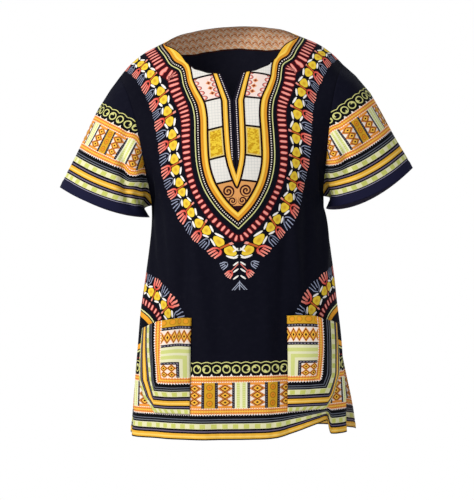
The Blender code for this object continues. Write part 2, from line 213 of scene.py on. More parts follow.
def cotton(name, print_on):
    """A cotton with its print: flat dye, a little mottled, on a rib of crossed threads.

    A print is given its place on the flat cut, in mm: across from the piece's middle line, up from its
    foot, and edge, the distance from the neckline. mottle is the dye's unevenness, about 0.5.
    """
    material = bpy.data.materials.new(name)
    material.use_nodes = True
    tree = material.node_tree
    shader = tree.nodes["Principled BSDF"]
    shader.inputs["Roughness"].default_value = 0.78
    shader.inputs["Specular IOR Level"].default_value = 0.05
    shader.inputs["Sheen Weight"].default_value = 0.035
    shader.inputs["Sheen Roughness"].default_value = 0.35
    shader.inputs["Sheen Tint"].default_value = linear("#b4c0e0")
    spot = add(tree, "ShaderNodeAttribute", {"attribute_name": "cut"})
    cut = add(tree, "ShaderNodeSeparateXYZ", inputs={0: spot.outputs["Vector"]}).outputs
    place = dict(zip(("across", "up", "edge"), cut))
    place["mottle"] = add(
        tree,
        "ShaderNodeTexNoise",
        {"noise_dimensions": "3D"},
        {"Vector": spot.outputs["Vector"], "Scale": 0.09, "Detail": 4.0, "Roughness": 0.62},
    ).outputs[0]
    colour = print_on(tree, place)
    last = draw(
        tree,
        f"""
faded = mix(colour, '#8f8c96', (mottle - 0.5) * 0.02)
ribs = sine(across * {2 * math.pi / THREAD:.4f}) * sine(up * {2 * math.pi / THREAD:.4f})
height = ribs * 0.5 + mottle * 0.8
""",
        colour=colour,
        **place,
    )
    tree.links.new(last["faded"], shader.inputs["Base Color"])
    relief = add(
        tree,
        "ShaderNodeBump",
        inputs={"Strength": 0.22, "Distance": 0.0004, "Height": last["height"]},
    )
    tree.links.new(relief.outputs[0], shader.inputs["Normal"])
    return material


# ---- The banded border ----
# The print's border runs round the hem and the sleeves, and the pockets are cut from its corners: stripes,
# two braids with a row of blocks between them, a row of curled rings, and a scalloped line on top.
# Heights are in mm above the cloth's own printed edge.
BORDER_BANDS = (
    (0.0, "#1b1c36"),
    (17.5, "#0b0b12"),
    (19.3, "#8d8aa4"),
    (20.5, "#0b0b12"),
    (22.8, "#e2e0b6"),
    (33.0, "#0c0b10"),
    (35.9, "#6f6680"),
    (37.9, "#0c0b10"),
    (40.7, "#eab23c"),
    (50.3, "#0c0b10"),
    (53.6, "#6b607a"),
    (55.6, "#0c0b10"),
    (59.6, "#e2e0b6"),
    (70.1, "#0b0c11"),
    (72.8, "#767b84"),
    (74.4, "#0b0c11"),
    (77.5, "#686d7c"),
    (79.0, "#0b0c11"),
    (87.6, "#ec9848"),
    (100.1, "#e9963f"),
    (150.1, "#ec9848"),
    (162.6, "#0b0b10"),
    (192.0, "#0b0c18"),
)
BORDER_TOP = 192.0
PRINT_TO = 191.0  # above this the border has given way to the plain ground
PANEL_FOOT = 38.7  # how much of the border the hem of the front and the back cuts off
GROUND = "base = mix('#090a16', '#0d0e1b', mottle)"  # the blue-black ground, very slightly mottled
BLOCK_REACH = 61.0  # from the middle of a lime block to the middle of a gold one
BLOCK_MIDDLE = 125.1  # how high the middle of the block row lies
#  how far from the middle of a lime block each band of the block row begins
BLOCK_BANDS = (
    (0.0, "#efedc8"),
    (2.6, "#ced681"),
    (8.6, "#f2f1d8"),
    (12.0, "#16131b"),
    (17.5, "#e9963f"),
    (45.5, "#16131b"),
    (51.0, "#d3a02b"),
    (60.9, "#d3a02b"),
)


def border_blocks(tree, side, high):
    """The row of blocks: side is how far from a lime block's middle, and high is from the row's middle."""
    ground = bands(tree, side, BLOCK_BANDS, BLOCK_REACH)
    return draw(
        tree,
        """
# the lattice of two columns of gems, with white teeth between them
lattice = (side > 17.5) and (side < 45.5)
x = absolute(side - 31.5)
tall = absolute(high)
cell = absolute(((tall + 6.75) % 13.5) - 6.75)
gem = x / 9.6 + cell / 6.3
tooth = (x - 4.4) / 9.2 - (6.75 - cell) / 5.6
white = lattice and (tooth > 0) and (tall < 20.2)
seam = lattice and (absolute(tooth + 0.06) < 0.09) and (tall < 20.2)
paint('#f2e4da', white)
paint('#a04a26', seam)
ring = lattice and (gem < 1.2) and (tall < 20.2)
paint('#6b2c18', ring)
fill = lattice and (gem < 0.88) and (tall < 20.2)
paint('#f2b544', fill)
eye = lattice and (gem < 0.34) and (tall < 20.2)
paint('#2c0f14', eye)
# the dashed dark rules beside it
rule = ((side > 12) and (side < 17.5)) or ((side > 45.5) and (side < 51))
dash = rule and ((high % 4.6) < 2.5) and (absolute(((side - 12) % 33.5) - 2.75) < 1.5)
paint('#5f5a68', dash)
# the gold block with its coins, and the flecked lime block
gold = side > 51
coin = sqrt((side - 61) ** 2 + (((high + 23.4) % 15.6) - 7.8) ** 2)
paint('#e08f28', gold and (coin < 6.2))
paint('#a8761c', gold and (absolute(coin - 5.4) < 0.8))
paint('#a8761c', gold and (coin < 1.5))
lime = side < 12
fleck = (absolute(((high * 2.1) % 9) - 4.5) < 1.4) and lime and (absolute(side - 5.6) < 2.6)
paint('#e6eaa8', fleck)
""",
        colour=ground,
        side=side,
        high=high,
    )["colour"]


def border(tree, along, high, narrow=1.0, blocks=None):
    """The whole border at a place along it and at a height.

    A sleeve's blocks are narrower by a factor, and a pocket gives its own blocks.
    """
    if blocks is None:
        lined = draw(
            tree,
            f"side = pingpong(along * {narrow}, {BLOCK_REACH})\nhigh = high - {BLOCK_MIDDLE}",
            along=along,
            high=high,
        )
        blocks = border_blocks(tree, lined["side"], lined["high"])
    ground = bands(tree, high, BORDER_BANDS, BORDER_TOP)
    return draw(
        tree,
        """
row = (high > 100.1) and (high < 150.1)
colour = mix(ground, blocks, row)
# lime tints in the two cream stripes, and a gleam on the yellow one
creamy = ((high > 59.6) and (high < 70.1)) or ((high > 22.8) and (high < 33.4))
tint = pingpong(along, 10.6) / 10.6
paint('#c6cc6e', creamy and (absolute(((high - 22.8) % 36.8) - 5.3) < 4.2) and (tint > 0.5))
gleam = (high > 40.7) and (high < 50.1) and (absolute(high - 45.4) < 1.5)
paint('#f6cf6c', gleam)
# a row of small white and dark teeth
check = (high > 82.4) and (high < 87.6)
square = pingpong(along, 2.6) * 1.2 < high - 85.3
paint('#e9dfe2', check and square)
paint('#0b0c11', check and (pingpong(along + 2.6, 2.6) < 1))
# the two braids
braid = ((high > 87.6) and (high < 100.1)) or ((high > 150.1) and (high < 162.6))
h = absolute(((high - 87.6) % 62.5) - 6.25)
tri = pingpong(along, 2.4)
zig = absolute(h - 1.6 - tri * 0.85) < 0.5
paint('#b14a24', braid and zig)
paint('#f4bd48', braid and (h < 0.9 + tri * 0.6))
paint('#fff3e6', braid and (h > 6.4 - tri * 0.95))
# white peaks, curled rings and the scalloped line
cell = (along % 19.1) - 9.55
peak = (high > 162.6) and (high - 162.6 < 4.6 - (9.55 - absolute(cell)) * 1.7)
paint('#f5efe6', peak)
turn = floor(along / 19.1) * 2.3
v = high - 176.2
far = absolute(sqrt(cell * cell + v * v) - 7.1)
curl_x = cell - cosine(turn) * 3.6
curl_y = v - sine(turn) * 3.6
curl = sqrt(curl_x * curl_x + curl_y * curl_y)
hook = curl < 2.9
hole = sqrt((cell - cosine(turn + 0.9) * 2.0) ** 2 + (v - sine(turn + 0.9) * 2.0) ** 2)
ringed = (far < 1.15) or (hook and (hole > 2.6))
scallop = absolute(high - 187.2 - cosine(cell * 0.1645) * 2.6) < 0.85
paint('#d2d287', ringed or scallop)
""",
        ground=ground,
        blocks=blocks,
        along=along,
        high=high,
    )["colour"]


# ---- The yoke ----
# The print's centrepiece: a yellow V-shaped band round the neck with a column of blocks inside it, and
# outside it dots, a lime line, a ladder of pink rungs, and a garland of yellow buds and coral tulips.
# The lime line is its guide: half its width, and its height above the hem, both in mm on the flat cut.
YOKE_LINE = (
    (0.0, 410.0),
    (35.0, 444.0),
    (58.5, 480.0),
    (71.0, 512.0),
    (77.0, 548.0),
    (77.5, 592.0),
    (76.5, 634.0),
    (80.5, 664.0),
    (89.0, 688.0),
    (97.0, 712.0),
    (100.0, 732.0),
    (104.5, 748.0),
    (123.0, 763.0),
    (134.0, 788.0),
    (145.0, 820.0),
    (151.0, 845.0),
    (157.0, 880.0),
)
# The middle of the garland's buds.
BUD_LINE = (
    (0.0, 361.0),
    (10.0, 363.0),
    (21.0, 370.0),
    (43.0, 391.0),
    (65.0, 412.0),
    (84.0, 432.0),
    (97.0, 451.0),
    (107.0, 471.0),
    (113.5, 494.0),
    (118.0, 517.0),
    (121.5, 541.0),
    (123.0, 567.0),
    (123.0, 592.0),
    (124.5, 618.0),
    (128.5, 646.0),
    (134.0, 673.0),
    (142.0, 698.0),
    (150.0, 721.0),
    (162.0, 744.0),
    (178.0, 774.0),
    (196.0, 808.0),
    (212.0, 845.0),
    (226.0, 890.0),
)
# The outer edge of the slit's own yellow stripe: half its width, and its height.
STRIP_LINE = (
    (0.0, 492.0),
    (5.4, 505.0),
    (10.6, 522.0),
    (14.9, 542.0),
    (17.6, 563.0),
    (18.9, 605.0),
    (19.1, 660.0),
    (19.1, 740.0),
    (19.1, 860.0),
)


# The middle of the buds of the half garland at the side seam: across, and up.
SIDE_LINE = (
    (300.0, 300.0),
    (262.0, 302.0),
    (225.0, 298.0),
    (190.0, 285.0),
    (160.0, 262.0),
    (144.0, 234.0),
    (141.0, 212.0),
    (144.0, 190.0),
    (160.0, 162.0),
    (190.0, 139.0),
    (225.0, 126.0),
    (262.0, 122.0),
    (300.0, 124.0),
)


def column_at(rows, column, at):
    """One column of a table, read between its rows on a smooth curve that passes through each of them."""
    values = np.array([row[column] for row in rows], float)
    slopes = np.gradient(values)
    first = np.clip(np.floor(at).astype(int), 0, len(values) - 2)
    part = at - first
    rest = 1.0 - part
    return (
        values[first] * (1 + 2 * part) * rest**2
        + slopes[first] * part * rest**2
        + values[first + 1] * part**2 * (3 - 2 * part)
        - slopes[first + 1] * part**2 * rest
    )


def beside(places, table):
    """How places on the flat cut lie to a guide line: how far along it the nearest point is, how far off it
    they are (less than 0 to the left of its way), and how far round its lower end, in radians from down.

    The line is a smooth curve through its table, and the places are mirrored on to its side of the middle.
    """
    at = np.linspace(0, len(table) - 1, 8 * (len(table) - 1) + 1)
    line = np.stack([column_at(table, column, at) for column in (0, 1)], axis=-1)
    x, y = np.abs(places[..., 0]), places[..., 1]
    run = np.diff(line, axis=0)
    length = np.linalg.norm(run, axis=1)
    gone = np.concatenate([[0], np.cumsum(length)])
    away = np.stack([x, y], axis=-1)[..., None, :] - line[:-1]
    part = np.clip((away * run).sum(-1) / length**2, 0, 1)
    gap = away - part[..., None] * run
    off = np.linalg.norm(gap, axis=-1)
    best = off.argmin(-1)[..., None]
    pick = [np.take_along_axis(values, best, -1)[..., 0] for values in (off, part, gap[..., 0], gap[..., 1])]
    along = gone[best[..., 0]] + pick[1] * length[best[..., 0]]
    turn = run[:, 0] * gap[..., 1] - run[:, 1] * gap[..., 0]
    within = np.take_along_axis(turn, best, -1)[..., 0] > 0
    widest = math.atan2(run[0, 1], run[0, 0])
    fan = np.where(along > 0, widest, np.clip(np.arctan2(pick[2], -pick[3]), 0, widest))
    return np.stack([along, np.where(within, -pick[0], pick[0]), fan], axis=-1)


def fork(name, x, y, turn, length, spread, thick):
    """Formulas for a four-pronged flower that opens from a point, at a turn in degrees from up."""
    side, rise = math.sin(math.radians(turn)), math.cos(math.radians(turn))
    return f"""
{name}_u = ({x}) * {side:.3f} + ({y}) * {rise:.3f}
{name}_v = absolute(({x}) * {rise:.3f} - ({y}) * {side:.3f})
{name}_rise = maximum({name}_u, 0) / {length}
{name}_open = {spread} * (minimum({name}_rise * 3.2, 1) ** 0.5 * 0.62 + {name}_rise * 0.38)
{name}_outer = absolute({name}_v - {name}_open)
{name}_inner = absolute({name}_v - {name}_open * 0.34) + ({name}_u < {length * 0.3:.2f}) * 9
{name}_far = minimum({name}_outer, {name}_inner)
{name}_within = ({name}_u > 0) and ({name}_u < {length} - {name}_v * 0.25)
{name} = {name}_within and ({name}_far < {thick} * (1.25 - {name}_rise * 0.5))
"""


# The ladder: a dark band with a row of pink rungs across it.
RUNGS = """
rung = absolute(((along + fan * 18.6) % 10.8) - 5.4)
long = 6.3 + minimum(maximum(along - 120, 0) * 0.021, 5)
step = absolute(off - 18.6)
paint('#3d0a13', step < long + 1)
paint('#d8615c', ((step / long) ** 4 + (rung / 2.7) ** 2) < 1)
paint('#f2a298', ((step / (long - 1)) ** 4 + (rung / 1.7) ** 2) < 1)
"""

# The garland: pairs of yellow buds with white leaves. A coral tulip on its stalk stands between the pairs,
# and a thin grey one between the two buds of each pair.
BUDS = (
    """
cross = ((chain + 24.7) % 49.4) - 24.7
tip = absolute(cross)
stem = (chain % 49.4) - 24.7
egg = ((tip - 13.2) / 9.6) ** 2 + (out / (5.4 + tip * 0.24)) ** 2
paint('#0a090d', egg < 1.6)
paint('#eccb3e', egg < 1)
core = ((tip - 14.5) / 5.5) ** 2 + ((out - 0.5) / 4.4) ** 2
paint('#cf9a28', (1 - core) * 0.8)
inner = ((tip - 8.6) / 7.4) ** 2 + ((out + 9.3 + (tip - 8.6) * 0.34) / 2.2) ** 2
outer = ((tip - 8.2) / 6.6) ** 2 + ((out - 9.3 - (tip - 8.2) * 0.34) / 2.1) ** 2
paint('#0a090d', minimum(inner, outer) < 1.9)
paint('#f6f3f0', minimum(inner, outer) < 1)
lean = stem + out * sway
stalk = absolute(out + 1.5) < 14
paint('#2a0d0c', stalk and (absolute(lean) < 2.7))
paint('#c5622c', stalk and (absolute(lean) < 1.5))
paint('#ee9a8e', (absolute(out + 13) < 3) and (absolute(lean) < 2))
"""
    + fork("shade", "lean + 1.2", "out - 8.5", 0, 23, 9.8, 2.9)
    + fork("tulip", "lean + 1.2", "out - 9.5", 0, 23.5, 10, 1.75)
    + fork("wisp", "cross + out * sway + 0.6", "out - 10.5", 0, 22.5, 9.6, 0.85)
    + """
paint('#3a0a12', shade)
paint(mix('#dd4a40', '#f79a8c', tulip_u / 20), tulip)
paint('#98a0bc', wisp and (chain > first))
"""
)

YOKE = """
# the dots, the lime line, and the yellow band that follows it
colour = mix(ground, '#0b0a0d', (off < 4))
paint('#2a0a0e', off < -9.6)
dot = sqrt((((along + 2.4) % 4.8) - 2.4) ** 2 + (off + 6) ** 2)
paint('#efe6e2', dot < 1.25)
paint('#d6d894', absolute(off) < 1)
collar = (up > 756) and (edge < 17)
band = (off < -11.4) and ((off > -23) or collar)
paint(mix('#de962c', '#eebb3e', off < -15.5), band)
paint('#c07f24', band and (absolute(off + 15.5) < 0.6))
paint('#f5d060', band and (absolute(off + 19.5) < 1.4))
# the column of blocks inside the band: checked white, with two yellow damask ones
x = absolute(across)
slant = up + (x - 36) * 0.15
inside = (off < -23.2) and ((up < 756) or (edge > 17.2))
paint('#1d080c', inside)
block = inside and (off < -27.2) and (over > 13.8) and ((up < 756) or (edge > 20.5))
lines = (((across + 60) % 6) < 0.7) or ((up % 6) < 0.7)
white = mix('#e4e2de', '#c9cdcc', lines)
paint(white, block)
damask = block and (absolute(absolute(slant - 699.7) - 118.4) < 28.3)
rim = (off > -29.6) or (over < 16) or (absolute(absolute(slant - 699.7) - 118.4) > 25.3)
grain = (mottle * 4) % 1
paint(mix('#c4961c', '#e8c83a', grain > 0.5), damask)
paint('#dcc47c', damask and rim)
# the block of gems between the damask ones, edged with lace
gems = block and (slant > 673) and (slant < 725)
paint('#f0dcd6', gems)
gem_y = absolute(((slant - 667) % 12) - 6)
gem_x = absolute(x - 37 - (slant - 700) * 0.12)
near = gem_x / 6.4 + gem_y / 4.6
paint('#eaa070', gems and (near < 1.1) and (absolute(slant - 699) < 18))
paint('#7a2418', gems and (near < 0.6) and (absolute(slant - 699) < 18))
edging = minimum(0 - off - 27.2, over - 13.8)
lace = (edging / 8) ** 2 + ((6 - gem_y) / 4.8) ** 2
paint('#6e2024', gems and (lace < 1.2))
paint('#e98c80', gems and (lace < 0.8))
paint('#f9dcd4', gems and (lace < 0.26))
paint('#d99a5c', block and (slant < 501))
# the lowest block, with two scrolls and a pale slanting line
one_x = x - 17.5
one_y = up - 484
one_r = sqrt(one_x * one_x + one_y * one_y)
one = ((one_r / 6.2 - arctan2(one_y, one_x) / 6.2832) % 1 < 0.58) and (one_r < 12.5)
two_x = x - 9.5
two_y = up - 465
two_r = sqrt(two_x * two_x + two_y * two_y)
two = ((two_r / 5.2 + arctan2(two_y, two_x) / 6.2832) % 1 < 0.58) and (two_r < 8.6)
scroll = block and (slant < 501)
paint('#3b1414', scroll and (one or two))
point = scroll and (up < 455)
paint('#2c1016', point)
paint('#e9b7a4', point and (absolute(up - 436 - x) < 0.9))
# dark lines between the blocks, and the slit's own yellow stripe with its beads
rows = absolute(slant - 501) < 2
rows = rows or (absolute(slant - 551.7) < 2) or (absolute(slant - 611) < 2)
rows = rows or (absolute(absolute(slant - 699) - 27.5) < 2) or (absolute(slant - 788.3) < 2)
paint('#14090c', block and rows)
paint('#1d080c', inside and (over < 13.8))
paint('#ecb43c', inside and (over < 9.8) and (over > 1.6))
paint('#f5d060', inside and (absolute(over - 5) < 1.2))
strip = over < 0
paint('#12101d', strip)
bead = sqrt((x - 5.9) ** 2 + (((up + 2) % 4.4) - 2.2) ** 2)
paint('#efe4ea', strip and (bead < 1.15) and (up > 528))
"""

# The pendant under the point of the yoke: white leaves, twigs, small tulips, sprigs and a grey tip.
PENDANT = (
    """
x = absolute(across)
below = 410 - up
drop = (below > 35) and (below < 100) and (x < 14)
leaf = absolute(((below - x * 0.62 - 43.4) % 13.3) - 6.65)
petal = drop and ((leaf / 2.0) ** 2 + ((x - 7) / 5.4) ** 2 < 1)
paint('#f4f1ee', petal)
twig = (absolute(below - 66 - x) < 1.15) and (x > 2) and (x < 17)
paint('#e8837a', twig)
upper_barb = absolute((below - 103) * 0.9 - x) < 1
lower_barb = absolute((below - 108) * 0.9 - x) < 1
barb = (below > 101) and (below < 119) and (upper_barb or (x < 0.9) or lower_barb)
paint('#a0a8bd', barb)
"""
    + fork("small", "x - 15", "82 - below", 138, 15, 6.8, 1.5)
    + fork("sprig", "x - 23", "66 - below", 118, 16, 7.2, 0.9)
    + """
paint(mix('#e0483f', '#f8a79a', small_u / 13), small)
paint('#a5adc6', sprig)
"""
)


# Along the yoke, the buds stand farther apart towards the point, and the tulips lean.
YOKE_BUDS = """
chain = chain - minimum(chain, 68) * 0.27
sway = 0.2 - maximum(1 - chain / 75, 0) * 0.8
first = 24.0
"""
STRIP_WIDE = 9.8  # mm from the outer edge of the slit's stripe to the beaded strip inside it


def yoke_print(tree, place):
    """The ground with the yoke, its garland and its pendant; a dark turned edge runs round the neckline."""
    along, off, fan = spot_values(tree, "yoke")
    chain, out, _ = spot_values(tree, "buds")
    _, over, up = spot_values(tree, "strip")
    over = draw(tree, f"over = over + {STRIP_WIDE}", over=over)["over"]
    place = place | {"along": along, "off": off, "fan": fan, "over": over, "up": up}
    base = draw(tree, GROUND, **place)["base"]
    colour = draw(tree, YOKE_BUDS + BUDS, colour=base, chain=chain, out=out)["colour"]
    colour = draw(tree, RUNGS + PENDANT, colour=colour, **place)["colour"]
    yoke = draw(tree, YOKE, ground=colour, **place)["colour"]
    return draw(
        tree,
        """
inner = mix(outer, yoke, off < 1.35)
colour = mix(inner, '#0c090c', edge < 2.6)
""",
        outer=colour,
        yoke=yoke,
        **place,
    )["colour"]


def border_print(tree, place):
    """The foot of a panel: the border, cut off below its lowest yellow stripe and turned up once."""
    named = draw(tree, f"along = across - 3\nhigh = up + {PANEL_FOOT}\n{GROUND}", **place)
    printed = border(tree, named["along"], named["high"])
    return draw(tree, f"colour = mix(printed, base, high > {PRINT_TO})", printed=printed, **named)["colour"]


def side_print(tree, place):
    """The ground by the side seams, with half a garland round a point on the seam above each vent."""
    chain, out, _ = spot_values(tree, "side")
    named = draw(
        tree,
        f"{GROUND}\nalong = (chain - 157) * 0.72\noff = out + 45\nchain = chain - 132.6",
        chain=chain,
        out=out,
        **place,
    )
    named |= {"colour": named["base"], "fan": 0.0, "sway": 0.0, "first": -1000.0}
    return draw(
        tree,
        BUDS
        + RUNGS
        + """
paint('#e2e5a2', absolute(off) < 1.35)
paint('#eda52f', (off < -4) and (off > -14))
""",
        **named,
    )["colour"]


def wrong_side_print_at(foot):
    """The wrong side's print, where the cloth's lowest edge lies a distance above the border's own edge."""

    def wrong_side_print(tree, place):
        """The same print, a little paler, and round the nape a peach ground with a brown lace."""
        high = draw(tree, f"high = up + {foot}", **place)["high"]
        printed = border(tree, place["across"], high)
        return draw(
            tree,
            """
colour = mix(mix(printed, '#7d7480', 0.16), mix('#191a28', '#20212f', mottle), high > 190)
wave = absolute(sine(across * 0.21)) * 7
lace = absolute(((edge + wave) % 17) - 8.5)
knot = sqrt((((across + 200) % 15) - 7.5) ** 2 + (((edge + 200) % 17) - 8.5) ** 2)
peach = mix('#fabb8c', '#ffead4', (lace < 1.5) or (absolute(knot - 4) < 1))
peach = mix(peach, '#cf7a40', (lace > 7.4) or (knot < 1.5))
paint(peach, edge < 62)
paint('#3a1c14', absolute(edge - 62) < 1.6)
""",
            printed=printed,
            high=high,
            **place,
        )["colour"]

    return wrong_side_print


# ---- Front and back ----
# Two pieces of the same printed cotton, the yoke round the neck and the border at the foot. The front is
# slit down the middle. They are sewn at the shoulders and the sides, and open below in vents; the neck,
# slit, vents and hem are turned in once and stitched.

# The cloth hangs from the shoulders as a bell. Each panel is a stack of rows from the shoulder line (row 0)
# to the hem (row 12); the armhole ends at row 7 and the side seam at row 10, above the open vent.
# "turn" is how far round, in degrees, a row bends from middle to edge, and "arch" is how its height falls.
#  mid_y   mid_z   edge_x  edge_y  edge_z  turn  arch, all in metres and degrees
FRONT_ROWS = (
    (0.000, 0.008, 0.2264, 0.000, -0.063, 30, 4.0),
    (-0.045, -0.020, 0.2130, -0.046, -0.090, 38, 3.0),
    (-0.076, -0.074, 0.2010, -0.068, -0.128, 44, 2.1),
    (-0.104, -0.135, 0.1920, -0.076, -0.172, 50, 2.1),
    (-0.121, -0.200, 0.1850, -0.075, -0.220, 56, 2.1),
    (-0.130, -0.265, 0.1795, -0.057, -0.264, 64, 2.1),
    (-0.133, -0.308, 0.1752, -0.030, -0.298, 76, 2.1),
    (-0.134, -0.340, 0.1740, 0.005, -0.326, 90, 2.1),
    (-0.135, -0.385, 0.1765, 0.005, -0.375, 90, 2.1),
    (-0.137, -0.480, 0.1900, 0.005, -0.475, 90, 2.1),
    (-0.140, -0.600, 0.2030, 0.003, -0.598, 90, 2.1),
    (-0.143, -0.700, 0.2100, -0.004, -0.700, 88, 2.1),
    (-0.146, -0.795, 0.2140, -0.012, -0.795, 86, 2.1),
)
BACK_ROWS = (
    (0.000, 0.008, 0.2264, 0.000, -0.063, 30, 4.0),
    (0.045, 0.034, 0.2150, 0.048, -0.088, 38, 3.0),
    (0.085, 0.024, 0.2050, 0.074, -0.126, 44, 2.1),
    (0.122, -0.040, 0.1960, 0.086, -0.172, 50, 2.1),
    (0.143, -0.120, 0.1880, 0.084, -0.220, 56, 2.1),
    (0.151, -0.205, 0.1810, 0.066, -0.264, 64, 2.1),
    (0.151, -0.280, 0.1755, 0.038, -0.298, 76, 2.1),
    (0.150, -0.335, 0.1740, 0.005, -0.326, 90, 2.1),
    (0.147, -0.385, 0.1765, 0.005, -0.375, 90, 2.1),
    (0.144, -0.480, 0.1900, 0.005, -0.475, 90, 2.1),
    (0.148, -0.600, 0.2030, 0.003, -0.598, 90, 2.1),
    (0.152, -0.700, 0.2110, 0.012, -0.700, 90, 2.1),
    (0.156, -0.795, 0.2170, 0.022, -0.795, 90, 2.1),
)
MID_Y, MID_Z, EDGE_X, EDGE_Y, EDGE_Z, TURN, ARCH = range(7)
UNDERARM_ROW, VENT_ROW, HEM_ROW = 7, 10, 12
NECK_REACH_ROW = 3.0  # the neckline moves the rows above this one
# The wearer stands with the right shoulder lower, and the neck a little to the right of the hem's middle.
TILT_TOP, TILT_HEM, TILT_FROM_Z, TILT_TO_Z = 0.055, 0.018, -0.30, -0.65
LEAN_TOP, LEAN_HEM, LEAN_FROM_Z, LEAN_TO_Z = -0.013, 0.005, 0.05, -0.50
CLOTH = 0.0008  # the cloth's thickness, drawn at twice the real one so that its edges show
HALF_COLUMNS = 72  # of mesh faces, from the middle line to an edge
MESH_STEP = 0.0052  # the height of a mesh row
FRONT_NECK = ((0.0, 2.0), (0.155, 1.93), (0.31, 1.70), (0.39, 1.40), (0.55, 0.0))  # across, row
SLIT_END_ROW = 5.0
SLIT_GAP = 0.0005  # half of it, where the two edges meet
SLIT_MOUTH = 0.021  # half of it, at the neckline
SLIT_CLOSES_ROW = 2.95
SLIT_REACH = 0.45  # how far across the panel the open slit pushes the cloth
#  across, width, the row where it begins, depth in metres
FRONT_FOLDS = (
    (-0.86, 0.11, 7.2, 0.007),
    (-0.66, 0.10, 7.6, -0.006),
    (-0.26, 0.09, 8.6, 0.005),
    (-0.10, 0.09, 9.4, -0.004),
    (0.22, 0.09, 8.2, 0.005),
    (0.36, 0.08, 8.8, -0.005),
    (0.64, 0.09, 8.0, 0.006),
    (0.88, 0.10, 7.2, 0.007),
)
# The left end of the front's hem swings up and in.
HEM_UP, HEM_IN, HEM_SWING_ACROSS, HEM_SWING_ROW = 0.026, 0.034, 0.66, 11.3
HEM_SWING_FROM, HEM_SWING_TO, HEM_SWING_WIDTH = 0.12, 0.72, 0.07
#  across, up, angle, length, width, depth, in mm and degrees
FRONT_CREASES = (
    (-196, 520, 62, 95, 11, -6.4),
    (-172, 560, 70, 80, 12, 4.8),
    (-150, 430, 96, 130, 15, 6.0),
    (-112, 350, 88, 140, 14, -6.5),
    (-84, 330, 97, 130, 13, 5.2),
    (-44, 260, 93, 100, 13, -2.9),
    (196, 515, 118, 90, 11, -6.4),
    (170, 555, 108, 85, 12, 5.1),
    (148, 420, 86, 125, 14, -6.0),
    (118, 340, 95, 120, 13, 6.0),
    (86, 300, 86, 130, 12, -3.8),
    (52, 240, 92, 80, 12, 2.6),
    (-205, 380, 104, 90, 14, -4.8),
    (210, 380, 76, 95, 14, 5.4),
    (-168, 690, 118, 70, 12, -3.8),
    (172, 690, 64, 70, 12, -3.8),
    (-30, 40, 100, 60, 12, 3.2),
    (66, 36, 84, 60, 11, -3.5),
)
# Where each print lies, in mm: the sides' beyond a distance from the middle line and below a height, and
# the border below another height.
SIDE_PRINT_FROM, SIDE_PRINT_TO, BORDER_TO = 88.0, 342.0, 153.0
FAR_FROM_NECK = 1000.0  # mm, more than any point's distance from the neckline

BACK_NECK = ((0.0, 1.45), (0.155, 1.40), (0.31, 1.18), (0.45, 0.70), (0.55, 0.0))  # across, row
#  across, width, the row where it begins, depth in metres
BACK_FOLDS = (
    (-0.84, 0.12, 7.0, 0.008),
    (-0.60, 0.12, 5.6, -0.007),
    (-0.34, 0.12, 6.4, 0.009),
    (-0.08, 0.12, 7.4, -0.007),
    (0.18, 0.12, 6.0, 0.009),
    (0.42, 0.12, 6.8, -0.008),
    (0.66, 0.12, 5.8, 0.008),
    (0.88, 0.11, 7.4, -0.005),
)
VENT_FLARE = (0.003, 0.020)  # how far the back's two edges stand out at the hem, right and left
VENT_FLARE_REACH = 0.6
#  across, up, angle, length, width, depth, in mm and degrees
BACK_CREASES = (
    (-196, 540, 64, 95, 12, -6.4),
    (-160, 560, 72, 85, 13, 5.4),
    (-120, 470, 88, 140, 15, -5.1),
    (-70, 380, 94, 150, 15, 4.8),
    (-20, 300, 90, 130, 14, -4.2),
    (30, 440, 86, 140, 15, 4.8),
    (78, 350, 92, 140, 14, -4.8),
    (126, 450, 95, 130, 15, 5.1),
    (165, 555, 110, 85, 13, 4.8),
    (198, 530, 117, 95, 12, -6.4),
    (0, 690, 4, 70, 12, -2.9),
    (-60, 650, 12, 70, 13, 2.6),
    (70, 655, 168, 70, 13, 2.6),
    (-208, 380, 100, 90, 14, 5.1),
    (212, 370, 80, 90, 14, -4.8),
)
# How far out from the middle the neckline ends, and where the two prints are matched at the shoulder.
NECK_SHARE, SHOULDER_SHARE = 0.56, 0.6
RIPPLE, HEM_THICK = 0.0006, 0.0007
PANEL_STITCHES, PANEL_GROOVE = 15.5, 0.00042  # mm above the hem, then metres
HEM_PUCKER, PUCKER_TURN, PUCKER_HIGH = 0.0005, 0.36, 12.0  # metres, radians to a mm along the hem, mm up
SIDE_EASE, TOP_EASE = 0.06, 25.0  # creases die away over this share of the half width, and these mm


def smooth_step(low, high, at):
    """0 up to low, 1 from high on, and a smooth rise between them."""
    share = np.clip((at - low) / (high - low), 0, 1)
    return share**2 * (3 - 2 * share)


def bump(at, centre, width):
    """A smooth hump of height 1 at the centre, which has died away at about twice its width."""
    return np.exp(-(((at - centre) / width) ** 2))


